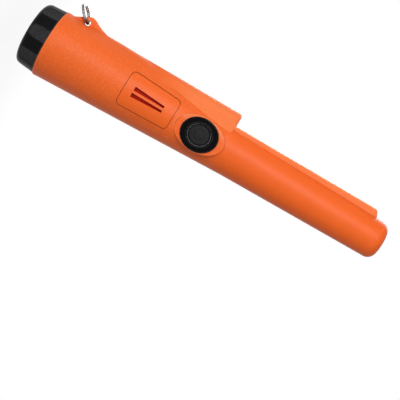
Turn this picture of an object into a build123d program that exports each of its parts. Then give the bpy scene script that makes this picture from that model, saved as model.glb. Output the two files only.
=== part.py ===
from build123d import *
import os
from math import acos, asin, atan2, cos, degrees, hypot, pi, radians, sin, sqrt

# Handheld pinpointer: a tapered moulded tube that narrows from the battery end to the search tip.
# Frame: the origin is the centre of the battery cap's flat end face, +Z runs to the tip, the fin,
# the keel and the lanyard lug are at -X, the push button faces -Y and the ruler faces +Y.
# All sizes are in millimetres. "Rise" is a height above the tube's own surface, "height" is a
# distance from the tube's axis towards the button.

# Tube
overall_length = 230.0
knee_z = 132.0
knee_radius = 13.75
tip_radius = 10.95
tip_edge_radius = 5.5
tip_crown = 0.3
wall = 2.4
tip_wall = 3.0

# Battery, a 9 V block
battery_width = 26.5
battery_depth = 17.5
battery_height = 46.4
battery_corner = 2.5
battery_clearance = 0.46
terminal_height = 2.2
terminal_pitch = 12.7
stud_radius = 2.85
socket_radius = 4.1
snap_clearance = 0.1

# Battery cap, its pressure pad and its seal
cap_length = 12.6
cap_floor = 2.4
cap_wall = 1.9
cap_taper = 1.0
cap_edge_radius = 4.0
cap_inner_radius = 1.5
flute_count = 8
flute_phase = 37.5
flute_radius = 30.0
flute_depth = 0.55
seam_gap = 0.2
seam_step = 0.45
seam_edge_radius = 0.4
spigot_wall = 2.0
spigot_gap = 0.8
thread_gap = 0.35
o_ring_section = 0.65
o_ring_groove_depth = 1.1
o_ring_seam_distance = 1.7
o_ring_clearance = 0.15
pad_radius = 11.5
pad_thickness = 2.6
post_radius = 2.5
post_lip = 0.4
post_lip_height = 0.5
pad_lip_depth = 1.0
swivel_clearance = 0.08

# Fin, keel and lanyard lug
step_z = 126.0
crest_root_z = 16.0
crest_root_rise = -0.1
crest_step_rise = 7.34
shoulder_round = 9.0
shoulder_crease = 6.0
shoulder_least_angle = 20.0
shoulder_peak_z = 46.0
shoulder_fade_z = 118.0
shoulder_stations = 4
fin_root_z = 58.0
fin_root_round = 0.8
fin_root_sink = 0.2
fin_middle_z = 92.0
fin_middle_round = 6.5
fin_step_round = 4.8
fin_flank_angle = 57.0
fin_back_angle = 62.6
fin_edge_radius = 1.5
keel_bury = 8.0
keel_step_rise = 0.03
keel_step_half_width = 7.7
keel_end_z = 218.2
keel_end_rise = 4.12
keel_end_half_width = 2.0
keel_end_slope = 1.9
keel_corner_radius = 2.4
keel_edge_radius = 0.7
lug_z = 26.8
lug_rise = 5.05
lug_back = 10.2
lug_front = 20.0
lug_thickness = 5.4
lug_edge_radius = 1.1
lug_hole_drop = 2.0
lug_hole_rise = 1.0
lug_hole_radius = 1.6
lug_hole_flare = 0.5
lug_hole_reach = 6.0

# Split ring
ring_radius = 5.4
ring_wire_radial = 1.0
ring_wire_axial = 0.8
ring_coil_gap = 0.1
ring_half_turns = 4
ring_end_gap = 0.8
ring_lean = 41.4
ring_twist = 4.0
ring_split_angle = 150.0
ring_rest = 0.4

# Sound panel, sounder and seals
panel_z = 62.0
panel_length = 31.2
panel_wide_end = 20.5
panel_narrow_end = 17.6
panel_corner = 2.4
panel_offset = 1.5
panel_thickness = 1.3
panel_gap = 0.3
slot_start = 5.4
slot_length = 19.2
slot_spacing = 1.5
slot_wide_end = 2.4
slot_narrow_end = 1.3
membrane_thickness = 0.25
membrane_margin = 4.3
membrane_gap = 0.2
layer_gap = 0.1
window_length = 12.0
window_width = 6.6
speaker_radius = 8.5
speaker_rim_clearance = 0.4
speaker_port_radius = 1.6
gasket_width = 1.5

# Push button and its switch
button_z = 110.9
pad_rise = 0.2
pad_half_length = 15.3
pad_half_width = 9.95
pad_flare = 0.8
pad_depth = 9.6
pad_edge_radius = 0.6
bezel_half_length = 11.2
bezel_half_width = 9.7
bezel_thickness = 0.9
ring_half_length = 8.1
ring_half_width = 7.3
ring_band = 1.1
ring_height = 1.0
button_half_length = 6.1
button_half_width = 5.6
button_gap = 0.4
button_depth = 2.2
button_proud = 0.7
button_crown = 0.3
button_centre_share = 0.5
button_travel = 0.8
button_stop_gap = 0.6
well_depth = 3.0
well_floor = 1.5
neck_wall = 1.3
neck_clearance = 0.1
stem_radius = 2.2
stem_clearance = 0.06
seal_section = 0.55
plunger_gap = 0.05
plunger_radius = 1.7
plunger_proud = 0.9
plunger_depth = 1.0
switch_size = 6.0
switch_height = 3.4

# Working light in the step of the fin
led_rise = 2.95
led_radius = 2.4
led_length = 6.0
led_clearance = 0.06
lens_depth = 3.7
lens_gap = 0.6
lens_dome = 0.5
light_pocket_half_width = 3.0
light_pocket_length = 14.0
flex_width = 3.0
flex_thickness = 0.25
flex_overlap = 2.5

# Chassis, circuit board and fasteners
chassis_clearance = 0.4
plate_thickness = 1.6
bulkhead_thickness = 2.0
cheek_clearance = 0.35
cheek_half_width = 7.0
cheek_start_gap = 2.0
nose_z = 144.0
nose_thickness = 4.0
rail_width = 3.0
rail_depth = 3.2
rail_inset = 0.2
crossbar_width = 3.0
crossbar_z = 119.0
pcb_width = 19.2
pcb_thickness = 1.6
pcb_height = 2.0
pcb_end_gap = 2.0
screw_post_radius = 2.2
screw_post_length = 7.0
screw_shank_radius = 0.95
screw_head_radius = 1.8
screw_head_height = 1.2
screw_bite = 5.0
screw_clearance = 0.04
pcb_screw_radius = 0.8
pcb_screw_head_radius = 1.4
pcb_screw_head_height = 0.8
pcb_screw_bite = 2.4
pcb_screw_end_distance = 4.2
chip_size = 7.0
chip_height = 1.2
chip_z = 122.0
amplifier_length = 5.0
amplifier_width = 4.0
amplifier_height = 1.5
amplifier_spacing = 9.0
amplifier_z = 134.0
capacitor_radius = 2.0
capacitor_height = 5.0
capacitor_spacing = 10.0
capacitor_z = 92.0
crystal_length = 5.0
crystal_width = 2.0
crystal_height = 1.1
crystal_z = 129.0

# Search coil
core_radius = 4.0
core_clearance = 0.12
former_wall = 0.9
former_flange_radius = 7.8
former_flange = 1.2
former_seat_clearance = 0.1
winding_radius = 6.9
winding_clearance = 0.05
winding_bays = 3
cushion_length = 7.0
cushion_clearance = 0.3

# Leads inside the case
lead_radius = 0.55
lead_hole_clearance = 0.15
battery_lead_spacing = 6.0
battery_lead_height = 5.2
battery_lead_reach = 4.6
coil_lead_spacing = 2.8
coil_lead_count = 4
coil_lead_height = 6.8
coil_lead_reach = 3.4
lead_bend = 1.5

# Vibration motor
motor_radius = 3.0
motor_length = 12.0
motor_z = 86.0
motor_shaft_radius = 0.5
motor_shaft_depth = 2.0
motor_shaft_clearance = 0.05
weight_radius = 2.8
weight_length = 4.0
weight_gap = 0.8
clip_thickness = 0.5
clip_length = 6.0
clip_foot = 8.0
clip_fit = 0.05
clip_lip = 1.4

# Ruler moulded into the side opposite the button, read in distance from the tip
ruler_groove = 1.0
ruler_depth = 0.45
centimetre = 10.0
inch = 25.4
centimetre_marks = range(10, 21)
inch_marks = range(4, 9)
numbered_step = 5
centimetre_tick = 6.4
numbered_tick = 3.3
inch_tick = 6.0

# Sizes that follow from the ones above
seam_z = cap_length
battery_corner_x = battery_width / 2 - battery_corner
battery_corner_y = battery_depth / 2 - battery_corner
battery_reach = hypot(battery_corner_x, battery_corner_y) + battery_corner
bay_radius = battery_reach + battery_clearance
spigot_radius = bay_radius + spigot_wall
spigot_z = cap_floor + spigot_gap
skirt_radius = spigot_radius + thread_gap
cap_rim_radius = skirt_radius + cap_wall
seam_radius = cap_rim_radius + seam_step
battery_z = cap_floor + pad_thickness
battery_top = battery_z + battery_height
plate_z = battery_top + terminal_height + snap_clearance
bulkhead_z = plate_z + plate_thickness
frame_z = bulkhead_z + bulkhead_thickness
pcb_end_z = nose_z - pcb_end_gap
cavity_end = overall_length - tip_wall
former_z = nose_z
former_seat_z = nose_z + nose_thickness
former_radius = core_radius + core_clearance + former_wall
former_end = cavity_end - cushion_length
rail_outer = pcb_width / 2 - rail_inset
pcb_back = -pcb_height + pcb_thickness
panel_mid = panel_z + panel_length / 2


def outer_radius(z):
    """Radius of the tube at z: the grip's taper up to the knee, then the slower taper of the probe."""
    if z < knee_z:
        return seam_radius + (knee_radius - seam_radius) * (z - seam_z) / (knee_z - seam_z)
    return knee_radius + (tip_radius - knee_radius) * (z - knee_z) / (overall_length - knee_z)


def inner_radius(z):
    """Radius of the cavity at z, where the battery bay is a plain bore."""
    return min(bay_radius, outer_radius(z) - wall)


def tube(inset, z_low, z_high):
    """Solid core of the tube, smaller than its outside by inset."""
    outline = Polyline(
        (0, z_low),
        (outer_radius(z_low) - inset, z_low),
        (knee_radius - inset, knee_z),
        (outer_radius(z_high) - inset, z_high),
        (0, z_high),
        close=True,
    )
    return revolve(Plane.XZ * make_face(outline), Axis.Z)


def round_bar(radius, z_low, z_high, x=0.0, y=0.0):
    """Round bar parallel to the tube's axis."""
    align = (Align.CENTER, Align.CENTER, Align.MIN)
    return Pos(x, y, z_low) * Cylinder(radius, z_high - z_low, align=align)


def block(x_low, x_high, y_low, y_high, z_low, z_high):
    """Rectangular block between two corners."""
    size = Box(x_high - x_low, y_high - y_low, z_high - z_low, align=Align.MIN)
    return Pos(x_low, y_low, z_low) * size


def facing(height, z, x=0.0):
    """Plane that looks out at the button side: its x runs to the tip and its y to the fin."""
    return Plane(origin=(x, -height, z), x_dir=(0, 0, 1), z_dir=(0, -1, 0))


def stand(sketch, height_low, height_high, z, x=0.0):
    """Prism over a sketch, standing towards the button side between two heights."""
    return extrude(facing(height_low, z, x) * sketch, amount=height_high - height_low)


def end_edge(solid):
    """The edge at a solid's highest end."""
    return solid.edges().sort_by(Axis.Z)[-1]


def dome_arc(radius, z, rise):
    """Half section of a shallow dome whose rim has the given radius and lies at z."""
    ball = (radius**2 + rise**2) / (2 * rise)
    half_angle = asin(radius / ball) / 2
    middle = (ball * sin(half_angle), z + rise - ball * (1 - cos(half_angle)))
    return ThreePointArc((radius, z), middle, (0, z + rise))


# Moulded body


def tube_outside():
    """Closed tapered tube from the seam to the rounded, slightly crowned tip."""
    crown_edge = (tip_radius, overall_length - tip_crown)
    seam_edge = (seam_radius, seam_z)
    crown = dome_arc(tip_radius, overall_length - tip_crown, tip_crown)
    sides = Polyline((0, overall_length), (0, seam_z), seam_edge, (knee_radius, knee_z), crown_edge)
    outline = make_face([*sides.edges(), crown])
    outline = fillet(outline.vertices().sort_by_distance(crown_edge)[0], tip_edge_radius)
    outline = fillet(outline.vertices().sort_by_distance(seam_edge)[0], seam_edge_radius)
    return revolve(Plane.XZ * outline, Axis.Z)


def crest_reach(z):
    """Distance of the fin's straight outer line from the axis."""
    root = outer_radius(crest_root_z) + crest_root_rise
    step = outer_radius(step_z) + crest_step_rise
    return root + (step - root) * (z - crest_root_z) / (step_z - crest_root_z)


def flank_points(reach, crest_round, flank_angle):
    """Ends of a flat flank: where it leaves the round crest and where it comes nearest to the axis."""
    lean = radians(flank_angle)
    centre = reach - crest_round
    depth = centre * cos(lean) + crest_round
    crest = (-centre - crest_round * cos(lean), crest_round * sin(lean))
    return crest, (-depth * cos(lean), depth * sin(lean))


def fin_section(z, reach, crest_round, front_angle, back_angle):
    """Section with a round crest and a flat flank on the button's side and on the ruler's side."""
    (front_x, front_y), (front_foot_x, front_foot_y) = flank_points(reach, crest_round, front_angle)
    back_crest, back_foot = flank_points(reach, crest_round, back_angle)
    front_crest = (front_x, -front_y)
    crest = ThreePointArc(back_crest, (-reach, 0), front_crest)
    flanks = Polyline(front_crest, (front_foot_x, -front_foot_y), back_foot, back_crest)
    return Pos(0, 0, z) * make_face([crest, *flanks.edges()])


def shoulder_section(z, reach):
    """Section of the shoulder, whose flanks run out into the tube with hardly any crease."""
    flank = outer_radius(z) * cos(radians(shoulder_crease))
    share = (flank - shoulder_round) / (reach - shoulder_round)
    least = cos(radians(shoulder_least_angle))
    angle = degrees(acos(min(share, least)))
    return fin_section(z, reach, shoulder_round, angle, angle)


def shoulder():
    """Soft swelling of the grip under the fin's outer line, which fades out before the step."""
    sections = []
    for z in (crest_root_z, (crest_root_z + shoulder_peak_z) / 2, shoulder_peak_z):
        sections.append(shoulder_section(z, crest_reach(z)))
    for station in range(1, shoulder_stations + 1):
        share = station / shoulder_stations
        z = shoulder_peak_z + (shoulder_fade_z - shoulder_peak_z) * share
        faded = share**2 * (3 - 2 * share)
        low = outer_radius(z) + crest_root_rise
        sections.append(shoulder_section(z, crest_reach(z) * (1 - faded) + low * faded))
    return loft(sections)


def fin():
    """Ridge with flat flanks that widens from the shoulder to the flat step above the probe."""
    angles = (fin_flank_angle, fin_back_angle)
    solid = loft([
        fin_section(fin_root_z, crest_reach(fin_root_z) - fin_root_sink, fin_root_round, *angles),
        fin_section(fin_middle_z, crest_reach(fin_middle_z), fin_middle_round, *angles),
        fin_section(step_z, crest_reach(step_z), fin_step_round, *angles),
    ])
    rim = solid.faces().sort_by(Axis.Z)[-1].edges().sort_by(Axis.X)[:-1]
    return fillet(rim, fin_edge_radius)


def keel():
    """Scraper blade with flat sides, which narrows and stands further from the tube towards the tip."""
    root_z = step_z - keel_bury
    foot_z = keel_end_z + keel_end_slope
    share = keel_bury / (foot_z - step_z)
    step_reach = outer_radius(step_z) + keel_step_rise
    end_reach = outer_radius(keel_end_z) + keel_end_rise
    root_reach = step_reach - (end_reach - step_reach) * share
    root_half = keel_step_half_width + (keel_step_half_width - keel_end_half_width) * share
    corner = (-end_reach, keel_end_z)
    side = Polygon(
        (0, root_z), (-root_reach, root_z), corner, (-outer_radius(foot_z), foot_z), (0, foot_z), align=None
    )
    side = fillet(side.vertices().sort_by_distance(corner)[0], keel_corner_radius)
    plan = Polygon(
        (-root_half, root_z),
        (root_half, root_z),
        (keel_end_half_width, foot_z),
        (-keel_end_half_width, foot_z),
        align=None,
    )
    blade = extrude(Plane.XZ * side, amount=root_half, both=True)
    blade &= extrude(Plane.YZ * plan, amount=-2 * end_reach)
    rims = [
        edge for edge in blade.edges()
        if abs(edge.center().Y) > keel_edge_radius and edge.center().X < -tip_radius / 2
        and edge.center().Z > step_z
    ]
    return fillet(rims, keel_edge_radius)


def lug_point(offset, rise):
    """Point of the lug's outline, along the tube from its peak and above the tube's surface."""
    z = lug_z + offset
    return (-outer_radius(z) - rise, z)


def lug():
    """Thin hump on the fin's mid-plane that holds the split ring."""
    crest = Spline(
        lug_point(-lug_back, 0),
        lug_point(-lug_back * 0.6, lug_rise * 0.47),
        lug_point(0, lug_rise),
        lug_point(lug_front * 0.21, lug_rise * 0.67),
        lug_point(lug_front * 0.41, lug_rise * 0.4),
        lug_point(lug_front, lug_rise * 0.18),
    )
    root = Polyline(crest @ 0, lug_point(-lug_back, -wall / 2), lug_point(lug_front, -wall / 2), crest @ 1)
    plate = extrude(Plane.XZ * make_face([crest, *root.edges()]), amount=lug_thickness / 2, both=True)
    rims = plate.edges().filter_by(GeomType.BSPLINE)
    return fillet(rims, lug_edge_radius)


def lug_hole():
    """Ring hole through the lug, opened out towards both sides until it leaves the tube's surface."""
    mouth = lug_hole_radius + lug_hole_flare
    below = Pos(0, 0, -lug_hole_reach / 2) * Cone(mouth, lug_hole_radius, lug_hole_reach)
    above = Pos(0, 0, lug_hole_reach / 2) * Cone(lug_hole_radius, mouth, lug_hole_reach)
    return Pos(*lug_hole_centre()) * Rot(X=90) * (below + above)


def lug_hole_centre():
    """Middle of the ring hole."""
    z = lug_z - lug_hole_drop
    return (-outer_radius(z) - lug_hole_rise, 0, z)


def button_pad_height():
    """Height of the flat that the button's surround sits on."""
    return outer_radius(button_z) + pad_rise


def button_pad():
    """Oval boss with a flat top and drafted sides."""
    foot_height = button_pad_height() - pad_depth
    foot = Ellipse(pad_half_length + pad_flare, pad_half_width + pad_flare)
    top = Ellipse(pad_half_length, pad_half_width)
    boss = loft([facing(foot_height, button_z) * foot, facing(button_pad_height(), button_z) * top])
    rim = boss.edges().sort_by(Axis.Y)[0]
    return fillet(rim, pad_edge_radius)


def button_pad_flat():
    """What is pared away where the tube stands higher than the pad."""
    outline = Ellipse(pad_half_length, pad_half_width)
    return stand(outline, button_pad_height(), button_pad_height() + seam_radius, button_z)


def cavity():
    """Battery bay and the tapered hollow behind it, with the posts for the chassis screws left in."""
    taper = (seam_radius - knee_radius) / (knee_z - seam_z)
    bay_end = seam_z + (seam_radius - wall - bay_radius) / taper
    outline = Polyline(
        (0, 0),
        (bay_radius, 0),
        (bay_radius, bay_end),
        (knee_radius - wall, knee_z),
        (outer_radius(cavity_end) - wall, cavity_end),
        (0, cavity_end),
        close=True,
    )
    hollow = revolve(Plane.XZ * make_face(outline), Axis.Z)
    return hollow - screw_posts()


def screw_x():
    """Distance of the chassis screws from the axis."""
    return inner_radius(frame_z) - screw_post_radius


def screw_posts():
    """Two posts on the cavity's wall that the chassis screws bite into."""
    end_z = frame_z + screw_post_length
    reach = outer_radius(end_z) - wall / 2
    posts = []
    for side in (-1, 1):
        x_low, x_high = sorted((side * screw_x(), side * reach))
        post = round_bar(screw_post_radius, frame_z, end_z, side * screw_x())
        web = block(x_low, x_high, -screw_post_radius, screw_post_radius, frame_z, end_z)
        posts.append(post + web)
    return Part() + posts & tube(wall / 2, seam_z, cavity_end)


def screw_holes():
    """Pilot holes for the chassis screws."""
    radius = screw_shank_radius + screw_clearance
    end_z = frame_z + screw_bite + 2 * radius
    return Part() + [round_bar(radius, plate_z, end_z, side * screw_x()) for side in (-1, 1)]


def ruler():
    """Engraved line with centimetre marks on one side and inch marks, towards the fin, on the other."""
    far = seam_radius * 2
    half = ruler_groove / 2
    start_z = overall_length - centimetre * centimetre_marks[0]
    end_z = overall_length - max(centimetre * centimetre_marks[-1], inch * inch_marks[-1])
    cuts = [block(-half, half, 0, far, end_z - half, start_z + half)]
    for mark in centimetre_marks:
        z = overall_length - centimetre * mark
        length = numbered_tick if mark % numbered_step == 0 else centimetre_tick
        cuts.append(block(0, length, 0, far, z - half, z + half))
    for mark in inch_marks:
        z = overall_length - inch * mark
        cuts.append(block(-inch_tick, 0, 0, far, z - half, z + half))
    return Part() + cuts - tube(ruler_depth, seam_z, overall_length)


def panel_outline(margin):
    """Rounded, slightly tapered outline of the sound panel, grown by margin."""
    half = panel_length / 2 + margin
    wide = panel_wide_end / 2 + margin
    narrow = panel_narrow_end / 2 + margin
    corners = Polygon((-half, -wide), (half, -narrow), (half, narrow), (-half, wide), align=None)
    return fillet(corners.vertices(), panel_corner + margin)


def panel_layer(outline, depth_low, depth_high):
    """Curved plate under an outline, between two depths below the tube's surface."""
    far = seam_radius * 2
    prism = stand(outline, 0, far, panel_mid, -panel_offset)
    outside = tube(depth_low, seam_z, overall_length)
    inside = tube(depth_high, seam_z, overall_length)
    return (prism & outside) - inside


def body_shell():
    """The moulded case, with every opening for what is fitted into it."""
    far = seam_radius * 2
    solid = tube_outside() + shoulder() + fin() + keel() + lug() + button_pad()
    solid -= button_pad_flat()
    solid += round_bar(spigot_radius, spigot_z, seam_z)
    solid -= cavity()
    solid -= screw_holes()
    groove_radius = spigot_radius - o_ring_groove_depth
    groove_z = seam_z - o_ring_seam_distance
    groove_half = o_ring_section + o_ring_clearance
    groove = round_bar(spigot_radius, groove_z - groove_half, groove_z + groove_half)
    solid -= groove - round_bar(groove_radius, groove_z - groove_half, groove_z + groove_half)
    solid -= lug_hole()
    recess = panel_thickness + layer_gap
    prism = stand(panel_outline(panel_gap), 0, far, panel_mid, -panel_offset)
    solid -= prism - tube(recess, seam_z, overall_length)
    prism = stand(membrane_outline(membrane_gap), 0, far, panel_mid, -panel_offset)
    solid -= prism - tube(membrane_depth() + membrane_thickness + layer_gap, seam_z, overall_length)
    window = RectangleRounded(window_length, window_width, window_width / 3)
    solid -= stand(window, speaker_face_height(), far, panel_mid, -panel_offset)
    solid -= stand(Circle(neck_radius() + neck_clearance), pcb_height, far, button_z)
    solid -= light_openings()
    solid -= ruler()
    return solid


# Sound panel and sounder


def speaker_panel():
    """Inset plate with two tapered slots."""
    plate = panel_layer(panel_outline(0), 0, panel_thickness)
    start = slot_start - panel_length / 2
    end = start + slot_length
    inner = slot_spacing / 2
    slot = Polygon(
        (start, inner), (end, inner), (end, inner + slot_narrow_end), (start, inner + slot_wide_end),
        align=None,
    )
    for half in (slot, mirror(slot, about=Plane.XZ)):
        plate -= stand(half, 0, seam_radius * 2, panel_mid, -panel_offset)
    return plate


def membrane_outline(margin):
    """Rounded outline of the membrane round the window, grown by margin."""
    grown = 2 * (membrane_margin + margin)
    return RectangleRounded(window_length + grown, window_width + grown, window_width / 3 + margin)


def membrane_depth():
    """Depth of the membrane's face, flush with the floor that the panel lies on."""
    return panel_thickness + 2 * layer_gap


def speaker_membrane():
    """Thin acoustic membrane over the window, in a shallow pocket behind the panel."""
    return panel_layer(membrane_outline(0), membrane_depth(), membrane_depth() + membrane_thickness)


def speaker_face_height():
    """Height of the sounder's face, set so that its rim stays clear of the cavity's wall."""
    narrow_end = inner_radius(panel_mid + speaker_radius)
    edge = speaker_radius + panel_offset
    return sqrt(narrow_end**2 - edge**2) - speaker_rim_clearance


def speaker():
    """Round board-mounted sounder with a port in its face."""
    can = stand(Circle(speaker_radius), pcb_height, speaker_face_height(), panel_mid, -panel_offset)
    can = fillet(can.edges().sort_by(Axis.Y)[0], speaker_rim_clearance)
    port_floor = (pcb_height + speaker_face_height()) / 2
    return can - stand(
        Circle(speaker_port_radius), port_floor, speaker_face_height(), panel_mid, -panel_offset
    )


def speaker_gasket():
    """Foam ring from the sounder's face to the curved wall round the window."""
    outer = speaker_radius - speaker_rim_clearance
    band = Circle(outer) - Circle(outer - gasket_width)
    ring = stand(band, speaker_face_height(), seam_radius, panel_mid, -panel_offset)
    return ring & tube(wall + layer_gap, seam_z, cavity_end)


# Push button


def neck_radius():
    """Radius of the bezel's neck, which passes through the case wall."""
    return button_half_length + button_gap + neck_wall


def well_floor_height():
    """Height of the floor of the well that the button moves in."""
    return button_pad_height() - well_depth


def button_bezel():
    """Oval surround with a raised ring, a well for the button and a guide for its stem."""
    top = button_pad_height() + bezel_thickness
    flange = stand(Ellipse(bezel_half_length, bezel_half_width), button_pad_height(), top, button_z)
    flange = fillet(flange.edges().sort_by(Axis.Y)[0], bezel_thickness * 0.6)
    band = Ellipse(ring_half_length, ring_half_width)
    band -= Ellipse(ring_half_length - ring_band, ring_half_width - ring_band)
    raised = stand(band, button_pad_height(), top + ring_height, button_z)
    crest = raised.faces().sort_by(Axis.Y)[0].edges()
    raised = fillet(crest, ring_band * 0.4)
    low = well_floor_height() - well_floor
    solid = flange + raised + stand(Circle(neck_radius()), low, top, button_z)
    well = Ellipse(button_half_length + button_gap, button_half_width + button_gap)
    solid -= stand(well, well_floor_height(), top + 2 * ring_height, button_z)
    gland = Circle(stem_radius + 2 * seal_section + 2 * stem_clearance)
    solid -= stand(gland, well_floor_height() - 2 * seal_section, well_floor_height(), button_z)
    return solid - stand(Circle(stem_radius + stem_clearance), low, top, button_z)


def power_button():
    """Oval button with a raised middle, on a stem that reaches down to the switch."""
    top = button_pad_height() + bezel_thickness + button_proud
    under = top - button_depth
    cap = stand(Ellipse(button_half_length, button_half_width), under, top, button_z)
    cap = fillet(cap.edges().sort_by(Axis.Y)[0], button_proud)
    middle = Ellipse(button_half_length * button_centre_share, button_half_width * button_centre_share)
    dot = stand(middle, top - button_crown, top + button_crown, button_z)
    dot = fillet(dot.edges().sort_by(Axis.Y)[0], button_crown)
    stem = stand(Circle(stem_radius), switch_top() + plunger_gap, under, button_z)
    return cap + dot + stem


def button_seal():
    """O-ring round the stem, in the bezel's gland."""
    ring = Torus(stem_radius + stem_clearance + seal_section, seal_section)
    return facing(well_floor_height() - seal_section, button_z).location * ring


def switch_top():
    """Height of the switch plunger's end at rest."""
    return pcb_height + switch_height + plunger_proud


def tact_switch():
    """Square switch body with a bore for its plunger."""
    top = pcb_height + switch_height
    body = stand(Rectangle(switch_size, switch_size), pcb_height, top, button_z)
    bore = Circle(plunger_radius + stem_clearance)
    floor = top - plunger_depth - button_travel - plunger_gap
    return body - stand(bore, floor, top, button_z)


def switch_plunger():
    """Round plunger that the stem pushes in."""
    return stand(Circle(plunger_radius), pcb_height + switch_height - plunger_depth, switch_top(), button_z)


# Working light


def led_x():
    """Place of the light across the step: between the keel and the fin's outer line."""
    return -outer_radius(step_z) - led_rise


def led_base_z():
    """Where the light's base lies."""
    return step_z - lens_depth - lens_gap - led_length


def light_openings():
    """Bore for the lens and the light, and the pocket that joins it to the cavity."""
    base = led_base_z()
    bore = round_bar(led_radius + led_clearance, base, step_z + fin_edge_radius, led_x())
    pocket = block(
        led_x() - led_radius, -inner_radius(base) + wall,
        -light_pocket_half_width, light_pocket_half_width,
        base - light_pocket_length, base + led_radius,
    )
    return bore + pocket


def led_lens():
    """Clear plug with a low dome, flush in the step."""
    rim = (led_radius, step_z)
    dome = dome_arc(led_radius, step_z, lens_dome)
    base_z = step_z - lens_depth
    sides = Polyline((0, step_z + lens_dome), (0, base_z), (led_radius, base_z), rim)
    plug = revolve(Plane.XZ * make_face([*sides.edges(), dome]), Axis.Z)
    return Pos(led_x(), 0, 0) * plug


def led():
    """Round light with a domed end."""
    base = led_base_z()
    can = round_bar(led_radius, base, base + led_length, led_x())
    return fillet(end_edge(can), led_radius * 0.8)


def led_flex_cable():
    """Flat flexible lead, bent in its own plane, from the board's edge to the light's base."""
    board_x = -pcb_width / 2 + flex_overlap
    low_z = led_base_z() - light_pocket_length / 2
    near_x = led_x() - flex_width / 2
    front = -pcb_height - flex_thickness
    across = block(near_x, board_x, front, -pcb_height, low_z, low_z + flex_width)
    along = block(near_x, near_x + flex_width, front, -pcb_height, low_z, led_base_z())
    return across + along


# Lanyard ring


def ring_point(half_turn, angle):
    """Point of the split ring's path, which is made of half circles that each climb half a pitch."""
    side = 1 - 2 * (half_turn % 2)
    quarter_pitch = (ring_wire_axial + ring_coil_gap) / 4
    return (
        side * ring_radius * cos(angle),
        side * hypot(ring_radius, quarter_pitch) * sin(angle),
        quarter_pitch * (2 * half_turn + 1 - cos(angle)),
    )


def ring_seat():
    """Where the ring's wire rests in the lug's hole."""
    x, y, z = lug_hole_centre()
    lean = radians(ring_lean)
    return (x + ring_rest * cos(lean), y, z + ring_rest * sin(lean))


def lanyard_ring():
    """Split ring of flat wire, wound nearly twice round, hanging through the lug's hole."""
    end_angle = ring_end_gap / ring_radius / 2
    last = ring_half_turns - 1
    arcs = []
    for number in range(ring_half_turns):
        low = end_angle if number == 0 else 0
        high = pi - end_angle if number == last else pi
        stops = [ring_point(number, angle) for angle in (low, (low + high) / 2, high)]
        arcs.append(ThreePointArc(*stops))
    path = Wire(arcs)
    start = ring_point(0, end_angle)
    section = Plane(start, x_dir=(start[0], start[1], 0), z_dir=path % 0)
    coil = sweep(section * Rectangle(ring_wire_radial, ring_wire_axial), path)
    height = ring_point(last, pi - end_angle)[2]
    centred = Rot(Z=ring_split_angle) * Pos(0, 0, -height / 2) * coil
    hung = Rot(X=ring_twist) * Pos(-ring_radius, 0, 0) * centred
    return Pos(*ring_seat()) * Rot(Y=-ring_lean) * hung


# Battery cap, pad and seal


def battery_cap():
    """Fluted screw cap with a snap post for the pressure pad."""
    end_radius = cap_rim_radius - cap_taper
    rim_z = cap_length - seam_gap
    outline = Polyline(
        (0, 0),
        (end_radius, 0),
        (cap_rim_radius, rim_z),
        (skirt_radius, rim_z),
        (skirt_radius, cap_floor),
        (0, cap_floor),
        close=True,
    )
    section = make_face(outline)
    section = fillet(section.vertices().sort_by_distance((end_radius, 0))[0], cap_edge_radius)
    section = fillet(section.vertices().sort_by_distance((skirt_radius, cap_floor))[0], cap_inner_radius)
    cup = revolve(Plane.XZ * section, Axis.Z)
    slope = degrees(atan2(cap_taper, rim_z))
    cutter = Rot(Y=slope) * Cylinder(flute_radius, 4 * cap_length)
    cutter = Pos(end_radius + flute_radius - flute_depth, 0, 0) * cutter
    flutes = [Rot(Z=flute_phase + 360 / flute_count * turn) * cutter for turn in range(flute_count)]
    cup -= flutes
    lip_z = cap_floor + pad_thickness - pad_lip_depth + 2 * swivel_clearance
    post = round_bar(post_radius, cap_floor, lip_z + post_lip_height)
    lip = round_bar(post_radius + post_lip, lip_z, lip_z + post_lip_height)
    return cup + post + lip


def battery_pad():
    """Round pressure pad that swivels on the cap's post."""
    disc = round_bar(pad_radius, cap_floor, battery_z)
    bore = round_bar(post_radius + swivel_clearance, cap_floor, battery_z)
    lip_room = round_bar(post_radius + 2 * post_lip, battery_z - pad_lip_depth, battery_z)
    return disc - bore - lip_room


def cap_o_ring():
    """Seal in the groove at the root of the threaded spigot."""
    radius = spigot_radius - o_ring_groove_depth + o_ring_section
    return Pos(0, 0, seam_z - o_ring_seam_distance) * Torus(radius, o_ring_section)


# Battery and its contacts


def battery():
    """9 V block with its stud and socket terminals."""
    outline = RectangleRounded(battery_width, battery_depth, battery_corner)
    body = extrude(Pos(0, 0, battery_z) * outline, amount=battery_height)
    end = battery_top + terminal_height
    half = terminal_pitch / 2
    stud = round_bar(stud_radius, battery_top, end, -half)
    socket = round_bar(socket_radius, battery_top, end, half)
    socket -= round_bar(stud_radius + snap_clearance, battery_top, end, half)
    return body + stud + socket


def snap_contacts():
    """Socket and stud on the contact plate, each mating with the battery's opposite terminal."""
    half = terminal_pitch / 2
    low = battery_top + snap_clearance
    socket = round_bar(socket_radius, low, plate_z, -half)
    socket -= round_bar(stud_radius + snap_clearance, low, plate_z, -half)
    stud = round_bar(stud_radius, low, plate_z, half)
    return Compound([socket.solid(), stud.solid()])


def contact_plate():
    """Round plate with two flats that carries the snap contacts."""
    radius = inner_radius(bulkhead_z) - chassis_clearance
    half_depth = battery_depth / 2
    plate = round_bar(radius, plate_z, bulkhead_z)
    plate &= block(-radius, radius, -half_depth, half_depth, plate_z, bulkhead_z)
    return plate - screw_holes()


# Chassis and circuit board


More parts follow.
